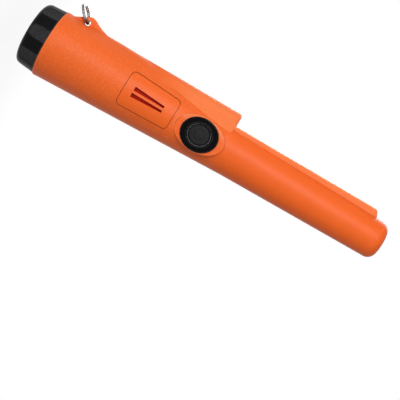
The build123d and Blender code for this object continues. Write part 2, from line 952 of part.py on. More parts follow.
def battery_cheeks():
    """Two long cheeks beside the battery, rounded to the bay."""
    radius = inner_radius(bulkhead_z) - chassis_clearance
    start = battery_z + cheek_start_gap
    bar = round_bar(radius, start, bulkhead_z)
    inner = battery_depth / 2 + cheek_clearance
    cheeks = []
    for low, high in ((-radius, -inner), (inner, radius)):
        cheeks.append(bar & block(-cheek_half_width, cheek_half_width, low, high, start, bulkhead_z))
    return cheeks


def chassis():
    """Slide-in frame: battery cheeks, bulkhead, two rails under the board and the coil's seat."""
    bulkhead = round_bar(inner_radius(frame_z) - chassis_clearance, bulkhead_z, frame_z)
    nose_radius = inner_radius(former_seat_z) - chassis_clearance
    nose = round_bar(nose_radius, nose_z, former_seat_z)
    nose -= round_bar(former_radius + former_seat_clearance, nose_z, former_seat_z)
    frame = bulkhead + nose + battery_cheeks()
    rail_inner = rail_outer - rail_width
    for low, high in ((-rail_outer, -rail_inner), (rail_inner, rail_outer)):
        frame += block(low, high, pcb_back, pcb_back + rail_depth, frame_z, nose_z)
    bar_low = crossbar_z - crossbar_width / 2
    frame += block(
        -rail_inner, rail_inner, pcb_back + rail_depth / 2, pcb_back + rail_depth,
        bar_low, bar_low + crossbar_width,
    )
    frame -= screw_holes()
    frame -= pcb_screw_holes()
    hole = lead_radius + lead_hole_clearance
    for x in battery_lead_places():
        frame -= round_bar(hole, bulkhead_z, frame_z, x, -battery_lead_height)
    for x in coil_lead_places():
        frame -= round_bar(hole, nose_z, former_seat_z, x, -coil_lead_height)
    return frame


def main_pcb():
    """Circuit board on the chassis rails."""
    half = pcb_width / 2
    board = block(-half, half, -pcb_height, pcb_back, frame_z, pcb_end_z)
    return board - pcb_screw_holes()


def pcb_screw_places():
    """The board's screws, near its four corners."""
    x = rail_outer - rail_width / 2
    ends = (frame_z + pcb_screw_end_distance, pcb_end_z - pcb_screw_end_distance)
    return [(side * x, z) for side in (-1, 1) for z in ends]


def pcb_screw_holes():
    """Holes through the board into the rails."""
    radius = pcb_screw_radius + screw_clearance
    floor = pcb_height - pcb_thickness - pcb_screw_bite - screw_clearance
    return Part() + [stand(Circle(radius), floor, pcb_height, z, x) for x, z in pcb_screw_places()]


def pcb_screws():
    """Small round-head screws that hold the board."""
    screws = []
    for x, z in pcb_screw_places():
        floor = pcb_height - pcb_thickness - pcb_screw_bite
        shank = stand(Circle(pcb_screw_radius), floor, pcb_height, z, x)
        head_top = pcb_height + pcb_screw_head_height
        head = stand(Circle(pcb_screw_head_radius), pcb_height, head_top, z, x)
        screws.append((shank + head).solid())
    return Compound(screws)


def chassis_screws():
    """Two screws through the contact plate and the bulkhead into the case's posts."""
    screws = []
    for side in (-1, 1):
        head = round_bar(screw_head_radius, plate_z - screw_head_height, plate_z, side * screw_x())
        shank = round_bar(screw_shank_radius, plate_z, frame_z + screw_bite, side * screw_x())
        screws.append((head + shank).solid())
    return Compound(screws)


def board_chip(length, width, height, z, x=0.0):
    """Flat component on the board's button side, length along the tube."""
    return stand(Rectangle(length, width), pcb_height, pcb_height + height, z, x)


def processor_chip():
    """Square main chip with chamfered upper edges."""
    chip = board_chip(chip_size, chip_size, chip_height, chip_z)
    return chamfer(chip.faces().sort_by(Axis.Y)[0].edges(), chip_height / 4)


def amplifier_chips():
    """Pair of amplifier chips near the coil."""
    half = amplifier_spacing / 2
    chips = [
        board_chip(amplifier_length, amplifier_width, amplifier_height, amplifier_z, side * half)
        for side in (-1, 1)
    ]
    return Compound([chip.solid() for chip in chips])


def capacitors():
    """Pair of can capacitors between the sounder and the switch."""
    half = capacitor_spacing / 2
    top = pcb_height + capacitor_height
    cans = [stand(Circle(capacitor_radius), pcb_height, top, capacitor_z, side * half) for side in (-1, 1)]
    rounded = [fillet(can.edges().sort_by(Axis.Y)[0], capacitor_radius / 5) for can in cans]
    return Compound([can.solid() for can in rounded])


def crystal():
    """Flat metal crystal can."""
    outline = RectangleRounded(crystal_width, crystal_length, crystal_width / 3)
    return stand(outline, pcb_height, pcb_height + crystal_height, crystal_z)


# Leads


def battery_lead_places():
    """Where the two battery leads run."""
    return [side * battery_lead_spacing / 2 for side in (-1, 1)]


def coil_lead_places():
    """Where the coil's leads run."""
    middle = (coil_lead_count - 1) / 2
    return [(number - middle) * coil_lead_spacing for number in range(coil_lead_count)]


def lead(start, corner, end):
    """Round insulated wire with one bend."""
    path = FilletPolyline(start, corner, end, radius=lead_bend)
    return sweep(Plane(path @ 0, z_dir=path % 0) * Circle(lead_radius), path).solid()


def battery_leads():
    """Two wires from the contact plate, through the bulkhead, to the board."""
    wires = []
    end_z = frame_z + battery_lead_reach
    for x in battery_lead_places():
        corner = (x, -battery_lead_height, end_z)
        wires.append(lead((x, -battery_lead_height, bulkhead_z), corner, (x, -pcb_height, end_z)))
    return Compound(wires)


def coil_leads():
    """Wires from the coil's first flange, through the chassis nose, to the board."""
    wires = []
    end_z = pcb_end_z - coil_lead_reach
    for x in coil_lead_places():
        corner = (x, -coil_lead_height, end_z)
        wires.append(lead((x, -coil_lead_height, former_seat_z), corner, (x, -pcb_height, end_z)))
    return Compound(wires)


# Search coil


def flange_places():
    """Lower faces of the former's flanges, evenly spaced from its seat to its far end."""
    last = former_end - former_flange
    return [
        former_seat_z + (last - former_seat_z) * number / winding_bays for number in range(winding_bays + 1)
    ]


def coil_former():
    """Bobbin with flanges, seated in the chassis nose."""
    former = round_bar(former_radius, former_z, former_end)
    for z in flange_places():
        former += round_bar(former_flange_radius, z, z + former_flange)
    return former - round_bar(core_radius + core_clearance, former_z, former_end)


def winding(bay):
    """Copper winding between two flanges."""
    low = flange_places()[bay] + former_flange + winding_clearance
    high = flange_places()[bay + 1] - winding_clearance
    return round_bar(winding_radius, low, high) - round_bar(former_radius + winding_clearance, low, high)


def transmit_coil():
    """Middle winding."""
    return winding(winding_bays // 2)


def receive_coils():
    """Outer windings, one on each side of the middle one."""
    outer = [bay for bay in range(winding_bays) if bay != winding_bays // 2]
    return Compound([winding(bay).solid() for bay in outer])


def ferrite_core():
    """Ferrite rod inside the former."""
    return round_bar(core_radius, former_z, former_end)


def tip_cushion():
    """Rubber block between the coil's end and the closed tip."""
    radius = inner_radius(cavity_end) - cushion_clearance
    block_end = round_bar(radius, former_end, cavity_end)
    return chamfer(end_edge(block_end), cushion_clearance)


# Vibration motor


def motor_y():
    """Distance of the motor's axis behind the tube's axis."""
    return pcb_back + clip_thickness + clip_fit + motor_radius


def vibration_motor():
    """Round motor can with a hole for its shaft."""
    can = round_bar(motor_radius, motor_z, motor_z + motor_length, 0, motor_y())
    shaft_room = motor_shaft_radius + motor_shaft_clearance
    end = motor_z + motor_length
    return can - round_bar(shaft_room, end - motor_shaft_depth - motor_shaft_clearance, end, 0, motor_y())


def motor_shaft():
    """Steel shaft that carries the weight."""
    can_end = motor_z + motor_length
    end = can_end + weight_gap + weight_length
    return round_bar(motor_shaft_radius, can_end - motor_shaft_depth, end, 0, motor_y())


def eccentric_weight():
    """Half-round weight that shakes the case as it spins."""
    low = motor_z + motor_length + weight_gap
    high = low + weight_length
    flat = motor_y() - 2 * motor_shaft_radius
    half = round_bar(weight_radius, low, high, 0, motor_y())
    half -= block(-weight_radius, weight_radius, motor_y() - weight_radius, flat, low, high)
    bore = motor_shaft_radius + motor_shaft_clearance / 2
    return half - round_bar(bore, low, high, 0, motor_y())


def motor_clip():
    """Sprung saddle that holds the motor on the back of the board."""
    low = motor_z + (motor_length - clip_length) / 2
    high = low + clip_length
    inner = motor_radius + clip_fit
    outer = inner + clip_thickness
    ring = round_bar(outer, low, high, 0, motor_y()) - round_bar(inner, low, high, 0, motor_y())
    ring -= block(-outer, outer, motor_y() + clip_lip, motor_y() + outer, low, high)
    foot = block(-clip_foot / 2, clip_foot / 2, pcb_back, pcb_back + clip_thickness, low, high)
    return ring + (foot - round_bar(inner, low, high, 0, motor_y()))


pieces = [
    body_shell, speaker_panel, speaker_membrane, speaker, speaker_gasket,
    button_bezel, power_button, button_seal, tact_switch, switch_plunger,
    led_lens, led, led_flex_cable, lanyard_ring,
    battery_cap, battery_pad, cap_o_ring, battery, snap_contacts, contact_plate,
    chassis, chassis_screws, main_pcb, pcb_screws,
    processor_chip, amplifier_chips, capacitors, crystal, battery_leads, coil_leads,
    coil_former, transmit_coil, receive_coils, ferrite_core, tip_cushion,
    vibration_motor, motor_shaft, eccentric_weight, motor_clip,
]

os.makedirs("parts", exist_ok=True)
for piece in pieces:
    export_step(piece(), "parts/" + piece.__name__ + ".step")
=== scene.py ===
"""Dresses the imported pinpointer: finishes, engraved ruler figures, thread, split ring, light and camera."""

from __future__ import annotations

import logging
import math
from dataclasses import dataclass
from enum import Enum
from typing import Any, Callable, Mapping, Optional, Sequence, Union

import bmesh
import bpy
from mathutils import Matrix, Vector

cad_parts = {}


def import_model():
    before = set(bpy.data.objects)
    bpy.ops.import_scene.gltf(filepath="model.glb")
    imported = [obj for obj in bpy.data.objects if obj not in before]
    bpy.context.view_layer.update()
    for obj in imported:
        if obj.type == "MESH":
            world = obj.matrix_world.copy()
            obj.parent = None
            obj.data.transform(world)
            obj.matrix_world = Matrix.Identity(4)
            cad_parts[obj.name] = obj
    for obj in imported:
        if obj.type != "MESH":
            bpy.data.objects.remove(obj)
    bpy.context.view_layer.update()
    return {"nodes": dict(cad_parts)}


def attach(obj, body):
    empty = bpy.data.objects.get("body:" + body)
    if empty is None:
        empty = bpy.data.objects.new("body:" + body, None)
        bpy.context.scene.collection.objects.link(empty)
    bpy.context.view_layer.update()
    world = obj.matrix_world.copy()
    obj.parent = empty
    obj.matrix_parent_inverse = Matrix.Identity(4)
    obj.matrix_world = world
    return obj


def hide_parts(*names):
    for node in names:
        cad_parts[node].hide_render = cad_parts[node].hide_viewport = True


log = logging.getLogger("pinpointer")

MM = 0.001

Colour = tuple[float, float, float, float]
SocketValue = Union[bpy.types.NodeSocket, float, int, bool, Sequence[float]]

WHITE: Colour = (1.0, 1.0, 1.0, 1.0)
PLASTIC_IOR = 1.53
RUBBER_IOR = 1.5
RESIN_IOR = 1.5
AO_SAMPLES = 6
# How often Blender's wave texture repeats in one metre at a scale of one.
WAVE_REPEATS = 20 / (2 * math.pi)
# Corners of a CAD node, and of a winding, that lie closer than this are one corner.
NODE_WELD = 0.0005 * MM
WINDING_WELD = 0.001 * MM


class Carrier(Enum):
    """The rigid bodies that the new pieces ride on."""

    HOUSING = "housing"
    CAP = "cap"
    BUTTON = "button"
    RING = "ring"


class Crease(Enum):
    """Angle between faces, in degrees, above which an edge stays sharp."""

    SOFT = 40.0
    CRISP = 24.0


class Slot(Enum):
    """Names of the record's material slots for the new pieces, which the script passes along but does not
    read.
    """

    ORANGE = "orange_plastic"
    BLACK = "black_plastic"
    GLOSS = "black_gloss"
    RUBBER = "black_rubber"
    LENS = "clear_lens"
    STEEL = "steel"


def linear(code: str) -> Colour:
    """Turns an sRGB hex colour to linear RGBA.

    Args:
        code: Six hex digits, such as "E8641F".

    Returns:
        The colour as four linear values, with full alpha.
    """
    parts = [int(code[i:i + 2], 16) / 255 for i in (0, 2, 4)]
    values = [p / 12.92 if p <= 0.04045 else ((p + 0.055) / 1.055) ** 2.4 for p in parts]
    return (values[0], values[1], values[2], 1.0)


def add_node(
    tree: bpy.types.NodeTree,
    kind: str,
    inputs: Optional[Mapping[Union[str, int], SocketValue]] = None,
    **settings: Any,
) -> bpy.types.Node:
    """Adds a node, sets it up and links it.

    Args:
        tree: The tree that the node goes into.
        kind: Blender's name of the node's type.
        inputs: Input name or number to a value, or to the output socket that feeds it.
        settings: The node's own properties.

    Returns:
        The new node.
    """
    node = tree.nodes.new(kind)
    for key, value in settings.items():
        setattr(node, key, value)
    for key, value in (inputs or {}).items():
        if isinstance(value, bpy.types.NodeSocket):
            tree.links.new(value, node.inputs[key])
        else:
            node.inputs[key].default_value = value
    return node


def per_metre(size_mm: float) -> float:
    """Texture scale at which one feature of a pattern is size_mm wide."""
    return 1.0 / (size_mm * MM)


@dataclass(frozen=True)
class TubeForm:
    """The case's taper and the step where its fin ends, in millimetres along and from its axis."""

    seam_z: float = 12.6
    seam_radius: float = 20.095
    knee_z: float = 132.0
    knee_radius: float = 13.75
    tip_radius: float = 10.95
    length: float = 230.0
    step_z: float = 126.0

    def radius(self, z: float) -> float:
        """Gives the outer radius at a height.

        Args:
            z: Height along the axis.

        Returns:
            The radius.
        """
        return max(r0 + (r1 - r0) * (z - z0) / (z1 - z0) for z0, r0, z1, r1 in self.tapers())

    def tapers(self) -> list[tuple[float, float, float, float]]:
        """Lists the two straight tapers, of which the wider one is the case.

        Returns:
            For each, the height and the radius at its start and at its end.
        """
        return [
            (self.seam_z, self.seam_radius, self.knee_z, self.knee_radius),
            (self.knee_z, self.knee_radius, self.length, self.tip_radius),
        ]


CASE_FORM = TubeForm()


@dataclass(frozen=True)
class Finish:
    """A finish: a named material that is built once."""

    name: str

    def material(self) -> bpy.types.Material:
        """Gives the finish's material, built at its first use.

        Returns:
            The material.
        """
        known = bpy.data.materials.get(self.name)
        if known is not None:
            return known
        made = bpy.data.materials.new(self.name)
        made.use_nodes = True
        made.node_tree.nodes.clear()
        shader = self.shade(made.node_tree)
        add_node(made.node_tree, "ShaderNodeOutputMaterial", {"Surface": shader.outputs[0]})
        return made

    def shade(self, tree: bpy.types.NodeTree) -> bpy.types.Node:
        """Builds the surface.

        Args:
            tree: The material's node tree.

        Returns:
            The node whose first output is the surface.
        """
        raise NotImplementedError


@dataclass(frozen=True)
class MouldedPlastic(Finish):
    """Injection-moulded plastic from a spark-eroded or polished tool.

    A soft broad sheen, a fine even grain whose peaks are painted paler as glints, and a faint drift of colour
    where the melt cooled. Painted shade darkens the creases, and the convex edges are painted paler, partly
    as wear and partly as highlights.
    """

    colour: str
    drift: str
    # crease: colour of the painted shade in creases, recesses and gaps.
    crease: str
    # edge: the paler colour painted on convex edges, partly as wear and partly as highlight.
    edge: str
    roughness: float = 0.45
    grain_mm: float = 0.45
    grain_depth_mm: float = 0.012
    drift_mm: float = 30.0
    crease_mm: float = 1.6
    edge_mm: float = 0.6
    edge_share: float = 0.5
    # peak_share: how much paler the grain's peaks are painted, as glints of light on the grain.
    peak_share: float = 0.0
    specular: float = 0.5
    polished_above_mm: float = 1000.0
    polished_share: float = 0.15
    crease_range: tuple[float, float] = (0.3, 0.9)
    edge_range: tuple[float, float] = (0.5, 0.92)
    peak_range: tuple[float, float] = (0.48, 0.66)
    gloss_range: tuple[float, float] = (0.3, 0.7)
    gloss_spread: tuple[float, float] = (-0.05, 0.06)

    def shade(self, tree: bpy.types.NodeTree) -> bpy.types.Node:
        """Builds the plastic.

        Args:
            tree: The material's node tree.

        Returns:
            The principled shader.
        """
        place = add_node(tree, "ShaderNodeTexCoord").outputs["Object"]
        grain = add_node(tree, "ShaderNodeTexNoise", {
            "Vector": place, "Scale": per_metre(self.grain_mm), "Detail": 2.0, "Roughness": 0.6})
        # Painted shade: where ambient occlusion finds the surface hemmed in, the crease colour is mixed in.
        reach = add_node(
            tree, "ShaderNodeAmbientOcclusion", {"Distance": self.crease_mm * MM}, samples=AO_SAMPLES)
        open_sky = add_node(tree, "ShaderNodeMapRange", {
            "Value": reach.outputs["AO"], "From Min": self.crease_range[0], "From Max": self.crease_range[1]})
        painted_crease_shade = add_node(tree, "ShaderNodeMix", {
            0: open_sky.outputs[0], 6: linear(self.crease), 7: self.tone(tree, place)}, data_type="RGBA")
        # Painted highlight, partly wear: convex edges, found by occlusion inside the solid, take the paler
        # edge colour.
        backing = add_node(
            tree, "ShaderNodeAmbientOcclusion", {"Distance": self.edge_mm * MM}, samples=AO_SAMPLES,
            inside=True, only_local=True)
        edge_highlight_wear = add_node(tree, "ShaderNodeMapRange", {
            "Value": backing.outputs["AO"], "From Min": self.edge_range[0], "From Max": self.edge_range[1],
            "To Min": self.edge_share, "To Max": 0.0})
        height = add_node(tree, "ShaderNodeSeparateXYZ", {0: place}).outputs["Z"]
        etched = add_node(tree, "ShaderNodeMapRange", {
            "Value": height, "From Min": self.polished_above_mm * MM,
            "From Max": (self.polished_above_mm + self.crease_mm) * MM, "To Min": 1.0,
            "To Max": self.polished_share})
        # Painted glints: the grain's peaks take the paler edge colour, in place of light sparkling on the
        # grain.
        peaks = add_node(tree, "ShaderNodeMapRange", {
            "Value": grain.outputs["Fac"], "From Min": self.peak_range[0], "From Max": self.peak_range[1],
            "To Max": self.peak_share})
        painted_peak_glints = add_node(tree, "ShaderNodeMath", {
            0: peaks.outputs[0], 1: etched.outputs[0]}, operation="MULTIPLY")
        # The paler edges and paler grain peaks: painted highlight and glints, partly wear.
        painted_light_and_wear = add_node(tree, "ShaderNodeMath", {
            0: self.handled(tree, place, edge_highlight_wear.outputs[0]), 1: painted_peak_glints.outputs[0]}, operation="MAXIMUM")
        tint = add_node(tree, "ShaderNodeMix", {
            0: painted_light_and_wear.outputs[0], 6: painted_crease_shade.outputs[2], 7: linear(self.edge)}, data_type="RGBA")
        rough = add_node(tree, "ShaderNodeMapRange", {
            "Value": grain.outputs["Fac"], "From Min": self.gloss_range[0], "From Max": self.gloss_range[1],
            "To Min": self.roughness + self.gloss_spread[0],
            "To Max": self.roughness + self.gloss_spread[1]})
        bump = add_node(tree, "ShaderNodeBump", {
            "Height": grain.outputs["Fac"], "Distance": self.grain_depth_mm * MM,
            "Strength": etched.outputs[0]})
        return add_node(tree, "ShaderNodeBsdfPrincipled", {
            "Base Color": tint.outputs[2], "Roughness": rough.outputs[0], "Normal": bump.outputs[0],
            "IOR": PLASTIC_IOR, "Specular IOR Level": self.specular})

    def handled(
        self, tree: bpy.types.NodeTree, place: bpy.types.NodeSocket, all_edges_highlight_wear: bpy.types.NodeSocket,
    ) -> bpy.types.NodeSocket:
        """Keeps the paler edges, partly wear and partly painted highlight, on every edge."""
        return all_edges_highlight_wear

    def tone(self, tree: bpy.types.NodeTree, place: bpy.types.NodeSocket) -> bpy.types.NodeSocket:
        """Gives the colour with its faint drift.

        Args:
            tree: The material's node tree.
            place: The point on the surface.

        Returns:
            The colour's socket.
        """
        cloud = add_node(tree, "ShaderNodeTexNoise", {
            "Vector": place, "Scale": per_metre(self.drift_mm), "Detail": 3.0})
        blend = add_node(tree, "ShaderNodeMix", {
            0: cloud.outputs["Fac"], 6: linear(self.colour), 7: linear(self.drift)}, data_type="RGBA")
        return blend.outputs[2]


@dataclass(frozen=True)
class CasePlastic(MouldedPlastic):
    """The case's plastic, with painted sheen: a paler colour on the fin and keel, where they stand proud of
    the tube.

    Each pair says where the paler colour starts and where it is full: along the tube, towards the fin and
    in height above the tube.
    """

    # blasted: the paler colour painted on the fin's and keel's flats in place of the sheen they catch.
    blasted: str = "EE763C"
    form: TubeForm = CASE_FORM
    fin_mm: tuple[float, float] = (74.0, 98.0)
    side_mm: tuple[float, float] = (-2.0, -5.0)
    proud_mm: tuple[float, float] = (0.03, 0.08)
    panel_mm: tuple[float, float] = (60.5, 94.7)
    panel_side_mm: float = -9.0

    def handled(
        self, tree: bpy.types.NodeTree, place: bpy.types.NodeSocket, all_edges_highlight_wear: bpy.types.NodeSocket,
    ) -> bpy.types.NodeSocket:
        """Gives the paler edges, partly wear and partly painted highlight, except along the sound panel's
        seam.

        Args:
            tree: The material's node tree.
            place: The point on the surface.
            all_edges_highlight_wear: The paler edges everywhere, partly wear and partly painted highlight.

        Returns:
            The socket of the paler edges, zero between the panel's two heights on the panel's side.
        """
        spot = add_node(tree, "ShaderNodeSeparateXYZ", {0: place}).outputs
        outside = (
            add_node(tree, "ShaderNodeMath", {0: spot["Z"], 1: self.panel_mm[0] * MM}, operation="LESS_THAN"),
            add_node(tree, "ShaderNodeMath", {
                0: spot["Z"], 1: self.panel_mm[1] * MM}, operation="GREATER_THAN"),
            add_node(tree, "ShaderNodeMath", {
                0: spot["Y"], 1: self.panel_side_mm * MM}, operation="GREATER_THAN"))
        along = add_node(tree, "ShaderNodeMath", {
            0: outside[0].outputs[0], 1: outside[1].outputs[0]}, operation="MAXIMUM")
        free = add_node(tree, "ShaderNodeMath", {
            0: along.outputs[0], 1: outside[2].outputs[0]}, operation="MAXIMUM")
        return add_node(tree, "ShaderNodeMath", {
            0: all_edges_highlight_wear, 1: free.outputs[0]}, operation="MULTIPLY").outputs[0]

    def tone(self, tree: bpy.types.NodeTree, place: bpy.types.NodeSocket) -> bpy.types.NodeSocket:
        """Gives the colour, with the paler painted sheen on the fin and the keel.

        Args:
            tree: The material's node tree.
            place: The point on the surface.

        Returns:
            The colour's socket.
        """
        spot = add_node(tree, "ShaderNodeSeparateXYZ", {0: place}).outputs
        flat = add_node(tree, "ShaderNodeVectorMath", {0: place, 1: (1.0, 1.0, 0.0)}, operation="MULTIPLY")
        away = add_node(tree, "ShaderNodeVectorMath", {0: flat.outputs[0]}, operation="LENGTH")
        cones = [
            add_node(tree, "ShaderNodeMapRange", {
                "Value": spot["Z"], "From Min": z0 * MM, "From Max": z1 * MM, "To Min": r0 * MM,
                "To Max": r1 * MM}, clamp=False).outputs[0]
            for z0, r0, z1, r1 in self.form.tapers()]
        tube = add_node(tree, "ShaderNodeMath", {0: cones[0], 1: cones[1]}, operation="MAXIMUM")
        proud = add_node(tree, "ShaderNodeMath", {
            0: away.outputs["Value"], 1: tube.outputs[0]}, operation="SUBTRACT")
        limits = ((proud.outputs[0], self.proud_mm), (spot["Z"], self.fin_mm), (spot["X"], self.side_mm))
        ramps = [
            add_node(tree, "ShaderNodeMapRange", {
                "Value": value, "From Min": start * MM, "From Max": full * MM}).outputs[0]
            for value, (start, full) in limits]
        along = add_node(tree, "ShaderNodeMath", {0: ramps[0], 1: ramps[1]}, operation="MULTIPLY")
        share = add_node(tree, "ShaderNodeMath", {0: along.outputs[0], 1: ramps[2]}, operation="MULTIPLY")
        blend = add_node(tree, "ShaderNodeMix", {
            0: share.outputs[0], 6: super().tone(tree, place), 7: linear(self.blasted)}, data_type="RGBA")
        return blend.outputs[2]


@dataclass(frozen=True)
class Elastomer(Finish):
    """Moulded rubber or foam: a dull, slightly dusty skin with fine open pores."""

    colour: str
    dust: str
    roughness: float = 0.7
    pore_mm: float = 0.5
    pore_depth_mm: float = 0.02
    pores_per_cloud: float = 12.0
    gloss_spread: float = 0.06
    specular: float = 0.5

    def shade(self, tree: bpy.types.NodeTree) -> bpy.types.Node:
        """Builds the rubber.

        Args:
            tree: The material's node tree.

        Returns:
            The principled shader.
        """
        place = add_node(tree, "ShaderNodeTexCoord").outputs["Object"]
        pores = add_node(tree, "ShaderNodeTexVoronoi", {
            "Vector": place, "Scale": per_metre(self.pore_mm)}, feature="SMOOTH_F1")
        cloud = add_node(tree, "ShaderNodeTexNoise", {
            "Vector": place, "Scale": per_metre(self.pore_mm * self.pores_per_cloud), "Detail": 4.0})
        tint = add_node(tree, "ShaderNodeMix", {
            0: cloud.outputs["Fac"], 6: linear(self.colour), 7: linear(self.dust)}, data_type="RGBA")
        rough = add_node(tree, "ShaderNodeMapRange", {
            "Value": cloud.outputs["Fac"], "To Min": self.roughness - self.gloss_spread,
            "To Max": self.roughness + self.gloss_spread})
        bump = add_node(tree, "ShaderNodeBump", {
            "Height": pores.outputs["Distance"], "Distance": self.pore_depth_mm * MM, "Strength": 0.7})
        return add_node(tree, "ShaderNodeBsdfPrincipled", {
            "Base Color": tint.outputs[2], "Roughness": rough.outputs[0], "Normal": bump.outputs[0],
            "IOR": RUBBER_IOR, "Specular IOR Level": self.specular})


@dataclass(frozen=True)
class Metal(Finish):
    """Bare or plated metal: bright, with fine marks from drawing or turning and a slight uneven gloss."""

    colour: str
    stain: str
    roughness: float = 0.2
    mark_mm: float = 0.3
    mark_depth_mm: float = 0.004
    mark_stretch: float = 0.15
    marks_per_cloud: float = 15.0
    gloss_range: tuple[float, float] = (0.3, 0.7)
    gloss_spread: tuple[float, float] = (0.8, 1.3)

    def shade(self, tree: bpy.types.NodeTree) -> bpy.types.Node:
        """Builds the metal.

        Args:
            tree: The material's node tree.

        Returns:
            The principled shader.
        """
        place = add_node(tree, "ShaderNodeTexCoord").outputs["Object"]
        drawn = add_node(tree, "ShaderNodeMapping", {"Vector": place, "Scale": (1.0, 1.0, self.mark_stretch)})
        marks = add_node(tree, "ShaderNodeTexNoise", {
            "Vector": drawn.outputs[0], "Scale": per_metre(self.mark_mm), "Detail": 3.0})
        cloud = add_node(tree, "ShaderNodeTexNoise", {
            "Vector": place, "Scale": per_metre(self.mark_mm * self.marks_per_cloud), "Detail": 3.0})
        tint = add_node(tree, "ShaderNodeMix", {
            0: cloud.outputs["Fac"], 6: linear(self.colour), 7: linear(self.stain)}, data_type="RGBA")
        rough = add_node(tree, "ShaderNodeMapRange", {
            "Value": marks.outputs["Fac"], "From Min": self.gloss_range[0], "From Max": self.gloss_range[1],
            "To Min": self.roughness * self.gloss_spread[0],
            "To Max": self.roughness * self.gloss_spread[1]})
        bump = add_node(tree, "ShaderNodeBump", {
            "Height": marks.outputs["Fac"], "Distance": self.mark_depth_mm * MM, "Strength": 0.6})
        return add_node(tree, "ShaderNodeBsdfPrincipled", {
            "Base Color": tint.outputs[2], "Roughness": rough.outputs[0], "Normal": bump.outputs[0],
            "Metallic": 1.0})


@dataclass(frozen=True)
class ClearResin(Finish):
    """Clear cast resin: colourless and polished, with the faint flow lines of casting."""

    tint: str
    flow: str
    roughness: float = 0.04
    flow_mm: float = 1.5
    flow_depth_mm: float = 0.01

    def shade(self, tree: bpy.types.NodeTree) -> bpy.types.Node:
        """Builds the resin.

        Args:
            tree: The material's node tree.

        Returns:
            The principled shader.
        """
        place = add_node(tree, "ShaderNodeTexCoord").outputs["Object"]
        lines = add_node(tree, "ShaderNodeTexNoise", {
            "Vector": place, "Scale": per_metre(self.flow_mm), "Detail": 2.0})
        colour = add_node(tree, "ShaderNodeMix", {
            0: lines.outputs["Fac"], 6: linear(self.tint), 7: linear(self.flow)}, data_type="RGBA")
        bump = add_node(tree, "ShaderNodeBump", {
            "Height": lines.outputs["Fac"], "Distance": self.flow_depth_mm * MM, "Strength": 0.5})
        return add_node(tree, "ShaderNodeBsdfPrincipled", {
            "Base Color": colour.outputs[2], "Roughness": self.roughness, "Normal": bump.outputs[0],
            "Transmission Weight": 1.0, "IOR": RESIN_IOR})


@dataclass(frozen=True)
class Banded(Finish):
    """A surface with even bands along one axis: a winding's wire, a label's stripe or a board's tracks."""

    colour: str
    band: str
    pitch_mm: float
    axis: str = "Z"
    metallic: float = 0.0
    roughness: float = 0.4
    relief_mm: float = 0.05
    distortion: float = 0.0

    def shade(self, tree: bpy.types.NodeTree) -> bpy.types.Node:
        """Builds the bands.

        Args:
            tree: The material's node tree.

        Returns:
            The principled shader.
        """
        place = add_node(tree, "ShaderNodeTexCoord").outputs["Object"]
        wave = add_node(tree, "ShaderNodeTexWave", {
            "Vector": place, "Scale": per_metre(self.pitch_mm) / WAVE_REPEATS,
            "Distortion": self.distortion, "Detail": 2.0}, bands_direction=self.axis)
        tint = add_node(tree, "ShaderNodeMix", {
            0: wave.outputs["Fac"], 6: linear(self.band), 7: linear(self.colour)}, data_type="RGBA")
        bump = add_node(tree, "ShaderNodeBump", {
            "Height": wave.outputs["Fac"], "Distance": self.relief_mm * MM, "Strength": 0.8})
        return add_node(tree, "ShaderNodeBsdfPrincipled", {
            "Base Color": tint.outputs[2], "Roughness": self.roughness, "Normal": bump.outputs[0],
            "Metallic": self.metallic, "IOR": RESIN_IOR})


# Case: an even, pebbled grain whose peaks are painted paler as glints, a soft sheen, and a smoother surface
# past the step. The grain of such a tool is about 0.3 mm wide. On this and the other outer plastics it is
# drawn coarser, so that it shows. Its creases take painted shade, and its edges are painted paler, partly as
# wear and partly as highlights.
ORANGE_ABS = CasePlastic(
    "orange_abs_spark_eroded", "EB631D", "E75E1A", "A03A14", "FBA06C", roughness=0.48, grain_mm=0.7,
    grain_depth_mm=0.1, edge_mm=0.9, edge_share=0.6, peak_share=0.22, specular=0.2,
    polished_above_mm=CASE_FORM.step_z)
# Sound panel: the same plastic from a finer tool, so it looks a little smoother than the case round it.
PANEL_ABS = MouldedPlastic(
    "orange_abs_fine_eroded", "EB631D", "E75E1A", "7E240D", "F8935A", roughness=0.46, grain_mm=0.7,
    grain_depth_mm=0.03, edge_share=0.1, peak_share=0.14, specular=0.2)
# Cap: deep black with a narrow, soft shine, and edges painted paler, partly as wear and partly as highlights.
BLACK_ABS = MouldedPlastic(
    "black_abs_satin", "040404", "070607", "020202", "5A575A", roughness=0.32, grain_mm=0.7,
    grain_depth_mm=0.012, peak_share=0.04, specular=0.07)
# Cap's flutes: blasted, so they look dark grey beside the satin lands, and speckled with glints painted on
# the grain's peaks.
MATT_BLACK = MouldedPlastic(
    "black_abs_blasted", "100E10", "151315", "040404", "5A575A", roughness=0.48, grain_mm=0.7,
    grain_depth_mm=0.05, peak_share=0.22, specular=0.18)
# Button's surround: polished, with a thin bright line painted along the edges of its ring as a highlight.
POLISHED_BLACK = MouldedPlastic(
    "black_abs_polished", "030303", "050505", "010101", "B5B3B5", roughness=0.16, grain_mm=1.2,
    grain_depth_mm=0.003, edge_mm=0.28, edge_share=0.75, specular=0.05)
# Push button: a dull charcoal skin.
SILICONE = Elastomer("black_silicone_moulded", "121113", "1A191B", roughness=0.5, pore_mm=0.6, specular=0.14)
# Seals: black with a faint greasy shine.
NITRILE = Elastomer("nitrile_rubber_moulded", "141414", "1E1D1C", roughness=0.6, pore_mm=0.4)
# Pads and gasket: dark and dry, with a coarse, cellular skin.
FOAM = Elastomer("closed_cell_foam_cut", "2A2A2B", "343434", roughness=0.9, pore_mm=0.7, pore_depth_mm=0.06)
# Split ring: grey metal with blurred mirror streaks.
RING_STEEL = Metal("nickel_plated_spring_steel", "9A9896", "858280", roughness=0.25)
